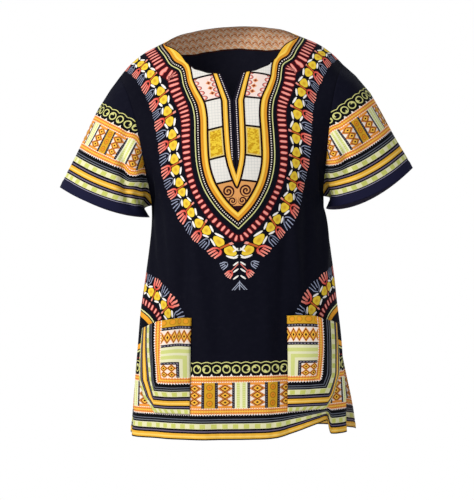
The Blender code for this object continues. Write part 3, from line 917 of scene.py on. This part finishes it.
def row_points(rows, across, row, samples=64):
    """Points at a share of the way across a row, and the row's length from the middle to its edge.

    From middle to edge a row is part of an ellipse, turned as far as its "turn" says. The points are
    spaced along it by their real distance.
    """
    across, row = np.broadcast_arrays(across, row)
    read = [column_at(rows, column, row)[..., None] for column in range(7)]
    turn = np.radians(read[TURN]) * np.linspace(0, 1, samples)
    full = np.radians(read[TURN])
    out = np.sin(turn) / np.sin(full)
    x = read[EDGE_X] * out
    y = read[EDGE_Y] + (read[MID_Y] - read[EDGE_Y]) * (np.cos(turn) - np.cos(full)) / (1 - np.cos(full))
    z = read[MID_Z] + (read[EDGE_Z] - read[MID_Z]) * out ** read[ARCH]
    line = np.stack([x, y, z], axis=-1)
    steps = np.linalg.norm(np.diff(line, axis=-2), axis=-1)
    along = np.concatenate([np.zeros(steps.shape[:-1] + (1,)), np.cumsum(steps, axis=-1)], axis=-1)
    wanted = np.abs(across) * along[..., -1]
    low = np.clip((along <= wanted[..., None]).sum(-1) - 1, 0, samples - 2)[..., None]
    start = np.take_along_axis(along, low, -1)
    end = np.take_along_axis(along, low + 1, -1)
    part = (wanted[..., None] - start) / (end - start)
    picked = np.take_along_axis(line, low[..., None], -2) * (1 - part)[..., None]
    picked = (picked + np.take_along_axis(line, low[..., None] + 1, -2) * part[..., None])[..., 0, :]
    picked[..., 0] *= np.where(across < 0, -1, 1)
    return picked, along[..., -1]


def mesh_rows():
    """Row numbers from shoulder to hem, one mesh step apart, with the underarm and vent rows among them."""
    level = np.linspace(0, HEM_ROW, 50 * HEM_ROW + 1)
    middle = np.stack([column_at(FRONT_ROWS, MID_Y, level), column_at(FRONT_ROWS, MID_Z, level)], -1)
    length = np.concatenate([[0], np.cumsum(np.linalg.norm(np.diff(middle, axis=0), axis=1))])
    stretches = []
    for first, last in ((0, UNDERARM_ROW), (UNDERARM_ROW, VENT_ROW), (VENT_ROW, HEM_ROW)):
        low, high = np.interp([first, last], level, length)
        count = int(round((high - low) / MESH_STEP))
        stretches.append(np.interp(np.linspace(low, high, count + 1)[:-1], length, level))
    return np.concatenate(stretches + [[float(HEM_ROW)]])


BASE_ROWS = mesh_rows()
ARMHOLE_COUNT = int(np.argmin(np.abs(BASE_ROWS - UNDERARM_ROW))) + 1
ACROSS = np.concatenate([-np.linspace(1, 0, HALF_COLUMNS + 1), np.linspace(0, 1, HALF_COLUMNS + 1)])
SIDES = np.repeat([-1.0, 1.0], HALF_COLUMNS + 1)  # the middle column comes twice, once for each side


def cut_place(rows, across, row):
    """Where a point lies on the flat cut, in mm: across from the middle line, and up from the hem."""
    level = np.linspace(0, HEM_ROW, 20 * HEM_ROW + 1)
    points, _ = row_points(rows, across[None, :], level[:, None])
    steps = np.linalg.norm(np.diff(points, axis=0), axis=-1)
    height = np.concatenate([np.cumsum(steps[::-1], axis=0)[::-1], np.zeros((1, len(across)))])
    at = row / HEM_ROW * (len(level) - 1)
    low = np.clip(at.astype(int), 0, len(level) - 2)
    picked = np.take_along_axis(height, low, 0) * (1 - (at - low))
    picked = picked + np.take_along_axis(height, low + 1, 0) * (at - low)
    _, length = row_points(rows, np.broadcast_to(across, row.shape), row)
    return np.stack([across * length, picked], axis=-1) * 1000


def panel(rows, neck, fold_table):
    """A panel's points on the grid, its row numbers, and its places on the flat cut.

    The top edge follows the neckline, and the upright folds are raised square to the panel.
    """
    top = np.interp(np.abs(ACROSS), [n[0] for n in neck], [n[1] for n in neck])[None, :]
    base = BASE_ROWS[:, None]
    row = base + top * np.clip(1 - base / NECK_REACH_ROW, 0, 1)
    across = np.broadcast_to(ACROSS, row.shape)
    points, _ = row_points(rows, across, row)
    facing = np.sign(rows[4][MID_Y])
    lift = np.zeros(row.shape)
    for centre, width, start, depth in fold_table:
        lift = lift + depth * bump(across, centre, width) * smooth_step(start, HEM_ROW, row)
    lift = lift * smooth_step(0.0, 0.08, 1 - np.abs(across))
    points[..., 0] += np.sin(across * math.pi / 2) * lift
    points[..., 1] += facing * np.cos(across * math.pi / 2) * lift
    return points, row, cut_place(rows, ACROSS, row)


def lean(points):
    """The stance: heights tilt down to the wearer's right, and the upper part stands a little that way."""
    x, y, z = np.moveaxis(points, -1, 0)
    tilt = TILT_HEM + (TILT_TOP - TILT_HEM) * (1 - smooth_step(-TILT_FROM_Z, -TILT_TO_Z, -z))
    shift = LEAN_TOP + (LEAN_HEM - LEAN_TOP) * smooth_step(-LEAN_FROM_Z, -LEAN_TO_Z, -z)
    return np.stack([x + shift, y, z + tilt * x], axis=-1)


def outward(points, flip):
    """The unit normals of a grid of points: the cross product of its steps down and across."""
    down = np.gradient(points, axis=0)
    over = np.gradient(points, axis=1)
    away = np.cross(down, over) * (-1 if flip else 1)
    return away / np.maximum(np.linalg.norm(away, axis=-1), 1e-9)[..., None]


def panel_normals(points, facing_front):
    """The normals of a whole panel, worked out for each side of its middle line."""
    half = HALF_COLUMNS + 1
    sides = [outward(points[:, :half], not facing_front), outward(points[:, half:], not facing_front)]
    return np.concatenate(sides, axis=1)


def creases(table, cut):
    """How far a table's creases lift the cloth, in metres, at places on the flat cut in mm.

    Each is a soft trough or ridge: a hump across its own line, which fades along it.
    """
    lift = np.zeros(cut.shape[:-1])
    for across, up, angle, length, width, depth in table:
        turn = math.radians(angle)
        x, y = cut[..., 0] - across, cut[..., 1] - up
        along = x * math.cos(turn) + y * math.sin(turn)
        beside = y * math.cos(turn) - x * math.sin(turn)
        lift = lift + depth / 1000 * bump(along, 0, length) * bump(beside, 0, width)
    return lift


def ripple(cut):
    """The unevenness of worn cotton: long shallow waves that run in four ways."""
    x, y = cut[..., 0] / 1000, cut[..., 1] / 1000
    waves = np.sin(71 * x + 23 * y + 1.0) + 0.8 * np.sin(39 * y - 58 * x + 2.2 * np.sin(9 * y))
    waves = waves + 0.6 * np.sin(97 * x - 41 * y + 0.5) * np.sin(17 * y + 3 * x)
    return RIPPLE * waves


def cloth_piece(name, points, faces, spots, materials, numbers=None):
    """Makes a piece of cloth: its mesh, its places on the flat cut, its materials, and its thickness.

    spots holds the piece's attributes by name, each with three values to a point. The last material is
    the wrong side's, and numbers gives each face's material on the right side.
    """
    mesh = bpy.data.meshes.new(name)
    mesh.from_pydata(points.reshape(-1, 3).tolist(), [], faces.tolist())
    for spot, values in spots.items():
        layer = mesh.attributes.new(spot, "FLOAT_VECTOR", "POINT")
        layer.data.foreach_set("vector", np.ascontiguousarray(values, np.float32).reshape(-1))
    for material in materials:
        mesh.materials.append(material)
    if numbers is not None:
        mesh.polygons.foreach_set("material_index", np.ascontiguousarray(numbers, np.int32))
    mesh.shade_smooth()
    piece = bpy.data.objects.new(name, mesh)
    bpy.context.scene.collection.objects.link(piece)
    thick = piece.modifiers.new("cloth", "SOLIDIFY")
    thick.thickness = CLOTH
    thick.offset = 0.0
    thick.use_rim = True
    thick.material_offset = len(materials)
    thick.material_offset_rim = 0
    return piece


def grid_faces(numbers, flip):
    """The four-sided faces of a grid of point numbers, one row of faces after another."""
    corners = [numbers[:-1, :-1], numbers[1:, :-1], numbers[1:, 1:], numbers[:-1, 1:]]
    faces = np.stack(corners, axis=-1)
    return faces[..., ::-1] if flip else faces


def guides(cut, neck_line, yoke_lift):
    """A panel's attributes: its flat cut with the distance to the neckline, and how its guides lie to it."""
    folded = np.stack([np.abs(cut[..., 0]), cut[..., 1]], axis=-1)
    edge = np.full(cut.shape[:-1], FAR_FROM_NECK)
    run = np.diff(neck_line, axis=0)
    for start, way in zip(neck_line[:-1], run):
        part = np.clip(((folded - start) @ way) / max(way @ way, 1e-9), 0, 1)
        edge = np.minimum(edge, np.linalg.norm(folded - start - part[..., None] * way, axis=-1))
    level = cut - np.array([0.0, yoke_lift])
    return {
        "cut": np.concatenate([cut, edge[..., None]], axis=-1),
        "yoke": beside(level, YOKE_LINE),
        "buds": beside(level, BUD_LINE),
        "strip": np.concatenate([beside(level, STRIP_LINE)[..., :2], level[..., 1:]], axis=-1),
        "side": beside(cut, SIDE_LINE),
    }


def panel_print(cut):
    """Which of the three prints each face of a panel takes: 0 the yoke, 1 the sides, 2 the border."""
    middle = (cut[:-1, :-1] + cut[1:, 1:]) / 2
    beside_seam = (np.abs(middle[..., 0]) > SIDE_PRINT_FROM) & (middle[..., 1] < SIDE_PRINT_TO)
    number = np.where(beside_seam, 1, 0)
    return np.where(middle[..., 1] < BORDER_TO, 2, number)


def weld_middle(row, open_until):
    """The grid's point numbers, with the middle column's two copies made one below the slit."""
    numbers = np.arange(row.size).reshape(row.shape)
    below = row[:, HALF_COLUMNS] >= open_until
    numbers[below, HALF_COLUMNS + 1] = numbers[below, HALF_COLUMNS]
    return numbers


def panel_piece(name, points, row, cut, spots, facing_front, open_until, materials):
    """Makes a panel from its two halves, leaving out the empty strip between the middle column's copies."""
    numbers = weld_middle(row, open_until)
    half = HALF_COLUMNS + 1
    halves = [grid_faces(part, not facing_front) for part in (numbers[:, :half], numbers[:, half:])]
    kinds = [panel_print(part).reshape(-1) for part in (cut[:, :half], cut[:, half:])]
    faces = np.concatenate([part.reshape(-1, 4) for part in halves])
    used, faces = np.unique(faces, return_inverse=True)
    flat = {spot: values.reshape(-1, 3)[used] for spot, values in spots.items()}
    kinds = np.concatenate(kinds)
    return cloth_piece(name, points.reshape(-1, 3)[used], faces.reshape(-1, 4), flat, materials, kinds)


def turned_hem(up, stitches, groove):
    """How far a turned hem's two layers stand out below the height of its stitches, in mm, and the groove
    that the stitches draw.
    """
    thick = HEM_THICK * (1 - smooth_step(stitches - 2.5, stitches + 1.5, up))
    return thick - groove * bump(up, stitches, 1.8)


def dress(points, cut, table, facing_front):
    """Raises a panel's creases, ripples and hem along its normals. They die away at the sewn edges."""
    across, up = cut[..., 0], cut[..., 1]
    free = smooth_step(0.0, SIDE_EASE, 1 - np.abs(ACROSS))[None, :] * smooth_step(0, TOP_EASE, up[:1] - up)
    lift = (creases(table, cut) + ripple(cut)) * free
    lift = lift + turned_hem(up, PANEL_STITCHES, PANEL_GROOVE)
    lift = lift + HEM_PUCKER * np.sin(across * PUCKER_TURN) * bump(up, PUCKER_HIGH, PUCKER_HIGH)
    return points + panel_normals(points, facing_front) * lift[..., None]


front, front_row, front_cut = panel(FRONT_ROWS, FRONT_NECK, FRONT_FOLDS)
open_part = np.clip((SLIT_CLOSES_ROW - front_row) / (SLIT_CLOSES_ROW - FRONT_NECK[0][1]), 0, 1)
half_gap = np.where(front_row < SLIT_END_ROW, SLIT_GAP + (SLIT_MOUTH - SLIT_GAP) * open_part, 0.0)
front[..., 0] += SIDES * half_gap * np.clip(1 - np.abs(ACROSS) / SLIT_REACH, 0, 1)
foot = smooth_step(HEM_SWING_ROW, HEM_ROW, front_row)
rise = smooth_step(HEM_SWING_FROM, HEM_SWING_ACROSS, ACROSS) ** 1.6
rise = rise * (1 - smooth_step(HEM_SWING_ACROSS, HEM_SWING_TO, ACROSS))
front[..., 1] += HEM_IN * bump(ACROSS, HEM_SWING_ACROSS, HEM_SWING_WIDTH) * foot
front[..., 2] += HEM_UP * rise * foot

back, back_row, back_cut = panel(BACK_ROWS, BACK_NECK, BACK_FOLDS)
flare = np.where(ACROSS < 0, VENT_FLARE[0], VENT_FLARE[1]) * SIDES
flare = flare * smooth_step(VENT_FLARE_REACH, 1.0, np.abs(ACROSS))
back[..., 0] += flare * smooth_step(VENT_ROW, HEM_ROW, back_row)
sewn = (BASE_ROWS >= UNDERARM_ROW - 1e-6) & (BASE_ROWS <= VENT_ROW + 1e-6)
for column in (0, -1):
    seam = (front[sewn, column] + back[sewn, column]) / 2
    front[sewn, column] = seam
    back[sewn, column] = seam
front_edges, back_edges = front[:, [0, -1]].copy(), back[:, [0, -1]].copy()

neck_count = int(NECK_SHARE * HALF_COLUMNS)
front_neck = front_cut[0, HALF_COLUMNS + 1 :][:neck_count]
back_neck = back_cut[0, HALF_COLUMNS + 1 :][:neck_count]
shoulder_column = HALF_COLUMNS + 1 + int(SHOULDER_SHARE * HALF_COLUMNS)
back_lift = back_cut[0, shoulder_column, 1] - front_cut[0, shoulder_column, 1]
front = dress(front, front_cut, FRONT_CREASES, True)
back = dress(back, back_cut, BACK_CREASES, False)

wrong_side = cotton("panel_wrong_side", wrong_side_print_at(PANEL_FOOT))
panel_cottons = [
    cotton("yoke_printed_cotton", yoke_print),
    cotton("ground_printed_cotton", side_print),
    cotton("border_printed_cotton", border_print),
    wrong_side,
]
for name, points, row, cut, neck, yoke_lift, slit_end, flat, area in (
    ("front", front, front_row, front_cut, front_neck, 0.0, SLIT_END_ROW, (0.551, 0.839), 0.387),
    ("back", back, back_row, back_cut, back_neck, back_lift, 0.0, (0.559, 0.873), 0.437),
):
    spots = guides(cut, neck, yoke_lift)
    is_front = name == "front"
    piece = panel_piece(f"{name}_shell", lean(points), row, cut, spots, is_front, slit_end, panel_cottons)
    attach(piece, "root")
    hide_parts(name)

# ---- Sleeves ----
# Each is one piece of the cotton with the border along its foot, set into the armhole and sewn up under
# the arm. The cuff is a wide oval, square to the upper arm.
CUFF_X, CUFF_Y, CUFF_Z = 0.2685, 0.002, -0.3145
CUFF_HALF_WIDTH, CUFF_HALF_DEPTH = 0.0950, 0.0780
CUFF_SLOPE = 21.5  # degrees by which the outer side of the cuff stands higher than the inner side
UNDERARM_OUT = 0.0150  # how far the underarm seam bows out from the body, as UNDERARM_BOW gives along it
UNDERARM_BOW = ((0.0, 0.0), (0.07, 0.50), (0.15, 0.82), (0.30, 1.0), (0.60, 0.70), (1.0, 0.0))
# The bulge of the cap, the sag of the cuff between its sides, the further drop of its back, the fold depth.
SLEEVES = {"right": (0.0080, 0.013, 0.002, 0.008), "left": (0.0150, 0.017, 0.008, 0.005)}
SWELL = ((0.0, 0.0), (0.12, 0.62), (0.30, 1.0), (0.62, 0.55), (1.0, 0.0))
#  degrees round, width, share along, width, share of the fold depth
SLEEVE_TROUGHS = (
    (118, 34, 0.55, 0.16, -1.0),
    (100, 26, 0.30, 0.14, 0.7),
    (235, 34, 0.50, 0.20, -0.8),
    (265, 30, 0.26, 0.16, 0.6),
    (52, 22, 0.62, 0.30, -0.4),
)
RING_COUNT = 56
UNDERARM_SPREAD = 0.75  # radians to each side of the underarm that its seam's bow takes along
SLEEVE_NARROW = 1.3  # how much narrower the border's blocks are on a sleeve
CUFF_STITCHES, CUFF_GROOVE = 17.5, 0.0004  # mm above the cuff's edge, then metres
# Degrees round from the top by the front, at the middle of the sleeve; how far it turns on its way to the
# cuff; its width; where along the sleeve it lies, and how far; its depth in mm.
SLEEVE_CREASES = {
    "right": (
        (98, 74, 8, 0.50, 0.34, -9.0),
        (80, 66, 8, 0.46, 0.32, 5.0),
        (120, 40, 9, 0.60, 0.26, 3.6),
        (40, 30, 12, 0.50, 0.34, -1.8),
        (214, -50, 12, 0.45, 0.30, -4.0),
        (240, -40, 11, 0.50, 0.30, 3.0),
        (300, -30, 14, 0.45, 0.30, -2.0),
    ),
    "left": (
        (100, 52, 9, 0.42, 0.32, -6.5),
        (82, 40, 9, 0.46, 0.30, 2.8),
        (60, 26, 12, 0.55, 0.34, -2.0),
        (128, 30, 11, 0.62, 0.26, 2.6),
        (220, -50, 12, 0.45, 0.30, -4.0),
        (246, -40, 11, 0.52, 0.30, 3.0),
        (306, -30, 14, 0.42, 0.30, -2.0),
    ),
}


def sleeve_print_at(phase):
    """The sleeve's print: the whole border from its own edge up, and the plain ground above it."""

    def sleeve_print(tree, place):
        named = draw(tree, f"along = across - {phase}\nbase = mix('#0a0b18', '#0f1020', mottle)", **place)
        printed = border(tree, named["along"], named["up"], narrow=SLEEVE_NARROW)
        return draw(tree, f"colour = mix(printed, base, up > {PRINT_TO})", printed=printed, **named)["colour"]

    return sleeve_print


def armhole_ring(edge):
    """The armhole's points from the underarm up the back, over the shoulder and down the front again.

    Each has its angle: 0 at the shoulder, pi at the underarm, spread along each half by real distance.
    """
    down = front_edges[:ARMHOLE_COUNT, edge]
    up = back_edges[1 : ARMHOLE_COUNT - 1, edge][::-1]
    armhole = np.concatenate([down, up, down[:1]])
    half = ARMHOLE_COUNT - 1
    gone = np.concatenate([[0], np.cumsum(np.linalg.norm(np.diff(armhole, axis=0), axis=1))])
    angle = np.where(
        np.arange(len(armhole)) <= half,
        math.pi * gone / gone[half],
        math.pi + math.pi * (gone - gone[half]) / (gone[-1] - gone[half]),
    )
    order = np.concatenate([np.arange(half, len(armhole) - 1), np.arange(0, half + 1)])
    armhole, angle = armhole[order], angle[order]
    signed = np.where(np.arange(len(order)) < len(armhole) - 1 - half, angle - 2 * math.pi, angle)
    return armhole, angle, signed


def cuff_ring(side, angle, sag, back_drop):
    """The cuff's points, on a sloping oval whose front and back sag, and the ways out from its middle."""
    slope = math.radians(CUFF_SLOPE)
    wide = np.array([side * math.cos(slope), 0, math.sin(slope)])
    deep = np.array([0, -1.0, 0])
    spoke = np.cos(angle)[:, None] * wide * CUFF_HALF_WIDTH + np.sin(angle)[:, None] * deep * CUFF_HALF_DEPTH
    cuff = np.array([side * CUFF_X, CUFF_Y, CUFF_Z]) + spoke
    cuff[:, 2] -= sag * np.sin(angle) ** 2 + back_drop * np.clip(-np.sin(angle), 0, 1)
    return cuff, spoke / np.linalg.norm(spoke, axis=1)[:, None]


def sleeve(side, name):
    """A sleeve's grid of points and its flat cut: rings from the armhole to the cuff, closed under the arm.

    A ring is a share of the way along straight lines from the armhole's points to the cuff's, moved out by
    the cap's bulge, the troughs and the creases, and at the underarm by the bow of its seam.
    """
    cap_bulge, sag, back_drop, fold_depth = SLEEVES[name]
    armhole, angle, signed = armhole_ring(0 if side < 0 else 1)
    cuff, away = cuff_ring(side, angle, sag, back_drop)
    under = bump(angle, math.pi, UNDERARM_SPREAD)[None, :]
    ring = np.linspace(0, 1, RING_COUNT + 1)[:, None]
    lift = cap_bulge * np.interp(ring, *zip(*SWELL)) * (1 - under)
    round_it = np.degrees(angle)[None, :]
    for where, where_width, at, at_width, share in SLEEVE_TROUGHS:
        hump = bump(round_it, where, where_width) * bump(ring, at, at_width)
        lift = lift + hump * fold_depth * share * np.sin(math.pi * ring) ** 0.5
    for where, turning, width, at, reach, depth in SLEEVE_CREASES[name]:
        hump = bump(round_it, where + turning * (ring - 0.5), width) * bump(ring, at, reach)
        lift = lift + hump * depth / 1000 * smooth_step(0, 0.1, ring) * smooth_step(-0.08, 0.12, 1 - ring)
    points = armhole[None] * (1 - ring[..., None]) + cuff[None] * ring[..., None] + away * lift[..., None]
    points[..., 0] += side * UNDERARM_OUT * np.interp(ring, *zip(*UNDERARM_BOW)) * under
    steps = np.linalg.norm(np.diff(points, axis=0), axis=-1)
    high = np.concatenate([np.cumsum(steps[::-1], axis=0)[::-1], np.zeros((1, points.shape[1]))]) * 1000
    whole = np.linalg.norm(np.diff(points[-1], axis=0), axis=-1).sum() * 1000
    along = np.broadcast_to(signed / (2 * math.pi) * whole, high.shape)
    cut = np.stack([along, high, np.full(high.shape, FAR_FROM_NECK)], axis=-1)
    lift = ripple(cut) * smooth_step(0, 0.1, ring) + turned_hem(high, CUFF_STITCHES, CUFF_GROOVE)
    return points + away * (lift * smooth_step(0, 0.05, np.abs(round_it - 180) / 180))[..., None], cut


sleeve_wrong_side = cotton("sleeve_wrong_side", wrong_side_print_at(0.0))
for side, name, phase in ((-1, "right", 34), (1, "left", 45)):
    points, cut = sleeve(side, name)
    printed = cotton(f"{name}_sleeve_printed_cotton", sleeve_print_at(phase))
    numbers = np.arange(points[..., 0].size).reshape(points.shape[:2])
    faces = grid_faces(numbers, side > 0).reshape(-1, 4)
    cottons = [printed, sleeve_wrong_side]
    piece = cloth_piece(f"sleeve_{name}_shell", lean(points), faces, {"cut": cut}, cottons)
    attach(piece, "root")
    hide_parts(f"sleeve_{name}")

# ---- Pockets ----
# Two patch pockets, each cut from a corner of the border and stitched to the front along its inner side,
# foot and outer side. Their mouths stand open.
POCKET_INNER = 0.35  # how far across the front the inner edge lies
# Row and share across, of the outer edge, which curves in towards its foot.
POCKET_OUTER = {
    "right": ((9.64, 0.81), (10.8, 0.81), (11.15, 0.765), (11.47, 0.67)),
    "left": ((9.64, 0.81), (10.75, 0.81), (11.15, 0.745), (11.47, 0.625)),
}
POCKET_TOP_ROW, POCKET_BOTTOM_ROW = 9.64, 11.47
MOUTH_SLOPE = 0.19  # rows by which the mouth's outer end lies lower than its inner end
POCKET_BULGE = {"right": 0.026, "left": 0.024}  # how far the mouth stands open
POCKET_FLAT = (127.0, 190.0)  # mm
POCKET_LIFT = 0.0026  # from the front's middle surface to the pocket's
POCKET_ACROSS, POCKET_DOWN = 40, 56
#  over  down  angle  length  width  depth: shares of the pocket's width and height, degrees, mm
POCKET_CREASES = (
    (0.42, 0.62, 70, 0.30, 0.07, -3.6),
    (0.62, 0.70, 108, 0.26, 0.06, 2.4),
    (0.25, 0.82, 30, 0.22, 0.06, 1.6),
    (0.80, 0.50, 84, 0.30, 0.06, -2.2),
)


def pocket_print(tree, place):
    """A corner of the border: its stripes follow the outer side and the foot, and its blocks fill the rest.

    Across is the distance from the outer side and up from the foot, both in mm.
    """
    named = draw(
        tree,
        """
# the border is turned round the corner: it keeps its distance from the nearer side
near = minimum(across, up)
high = near + 22.8
along = maximum(across, up)
x = across - 77.3
y = up - 77.3
colour = mix('#ec9848', '#e9963f', x > 0)
# the corner square of gems
mark = maximum(x, y)
gem_x = absolute(((x + 40) % 13) - 6.5)
gem_y = absolute(((y + 39.5) % 13) - 6.5)
square = (mark < 26)
gem = gem_x / 5.4 + gem_y / 5.4
paint('#f2e4da', square and (gem > 1.5))
paint('#6b2c18', square and (gem < 1.2))
paint('#f2b544', square and (gem < 0.85))
paint('#2c0f14', square and (gem < 0.36))
# the dashed dark rule and the lime bar round the square
dark = (mark > 26) and (mark < 31.5)
paint('#1d1a26', mark > 26)
paint('#8b8696', dark and (absolute(mark - 28.8) < 0.9) and (((x + y) % 5) < 2.6))
lime = (mark > 31.5) and (y < 62)
paint('#e3e2bd', lime)
paint('#cdd484', lime and (absolute(mark - 41) < 3.6) and (x < 50))
paint('#cdd484', lime and (y > 33) and (absolute(y - 53) < 3.6))
# above them, one row of tall gems and a row of coins on gold
row = (y > 67.5) and (y < 94)
cell = absolute(((x + 5.5) % 10) - 5)
tall = absolute(y - 80.7)
gem = cell / 4.4 + tall / 9.6
paint('#e9963f', row)
paint('#f2e4da', row and (tall > 4.4 + (5 - cell) * 1.7))
paint('#6b2c18', row and (gem < 1.2))
paint('#f2b544', row and (gem < 0.9))
paint('#2c0f14', row and (gem < 0.36))
rules = (absolute(y - 64.8) < 0.9) or (absolute(y - 97) < 0.9)
paint('#8b8696', rules and ((x % 5) < 2.8))
gold = y > 99.5
paint('#d3a02b', gold)
coin = sqrt((((x + 4) % 13) - 6.5) ** 2 + (y - 107) ** 2)
paint('#e39a2c', gold and (coin < 4.6))
paint('#b9861f', gold and (absolute(coin - 4.4) < 0.8))
paint('#14121b', y > 112.5)
""",
        **place,
    )
    printed = border(tree, named["along"], named["high"], blocks=named["colour"])
    return draw(
        tree,
        "colour = mix(printed, blocks, high > 100.1)",
        printed=printed,
        blocks=named["colour"],
        high=named["high"],
    )["colour"]


def on_grid(values, column_places, row_places, across, row):
    """Values of the front read between its grid's points, at a share across and a row."""
    columns = np.interp(across, column_places, np.arange(len(column_places)))
    rows = np.interp(row, row_places, np.arange(len(row_places)))
    c = np.clip(columns.astype(int), 0, values.shape[1] - 2)
    r = np.clip(rows.astype(int), 0, values.shape[0] - 2)
    u, v = (columns - c)[..., None], (rows - r)[..., None]
    top = values[r, c] * (1 - u) + values[r, c + 1] * u
    foot = values[r + 1, c] * (1 - u) + values[r + 1, c + 1] * u
    return top * (1 - v) + foot * v


pocket_cotton = cotton("pocket_printed_cotton", pocket_print)
front_ways = panel_normals(front, True)
for side, name in ((-1, "right"), (1, "left")):
    over = np.linspace(0, 1, POCKET_ACROSS + 1)[None, :]
    down = np.linspace(0, 1, POCKET_DOWN + 1)[:, None]
    row = POCKET_TOP_ROW + (POCKET_BOTTOM_ROW - POCKET_TOP_ROW) * down
    row = row + MOUTH_SLOPE * smooth_step(0.1, 1.0, over) * (1 - down) ** 2
    outer = np.interp(row, *zip(*POCKET_OUTER[name]))
    across = side * (POCKET_INNER + (outer - POCKET_INNER) * over)
    half = slice(0, HALF_COLUMNS + 1) if side < 0 else slice(HALF_COLUMNS + 1, None)
    points = on_grid(front[:, half], ACROSS[half], BASE_ROWS, across, row)
    ways = on_grid(front_ways[:, half], ACROSS[half], BASE_ROWS, across, row)
    swell = np.sin(math.pi * over) ** 0.8 * np.cos(math.pi / 2 * down**1.6)
    lift = POCKET_LIFT + POCKET_BULGE[name] * np.clip(swell, 0, 1)
    hold = np.sin(math.pi * over) ** 0.6 * np.clip(np.sin(math.pi * (0.1 + 0.9 * down)), 0, 1)
    for at_over, at_down, angle, length, width, depth in POCKET_CREASES:
        turn = math.radians(angle)
        x, y = over - at_over, at_down - down
        line = bump(x * math.cos(turn) + y * math.sin(turn), 0, length)
        lift = lift + depth / 1000 * hold * line * bump(y * math.cos(turn) - x * math.sin(turn), 0, width)
    points = points + ways * lift[..., None]
    up = (1 - down) * POCKET_FLAT[1] * np.ones_like(over)
    in_from_side = (1 - over) * POCKET_FLAT[0] * np.ones_like(down)
    cut = np.stack([in_from_side, up, np.full(up.shape, FAR_FROM_NECK)], axis=-1)
    numbers = np.arange(up.size).reshape(up.shape)
    faces = grid_faces(numbers, side < 0).reshape(-1, 4)
    cottons = [pocket_cotton, wrong_side]
    piece = cloth_piece(f"pocket_{name}_shell", lean(points), faces, {"cut": cut}, cottons)
    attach(piece, "root")
    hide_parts(f"pocket_{name}")

bpy.context.view_layer.update()
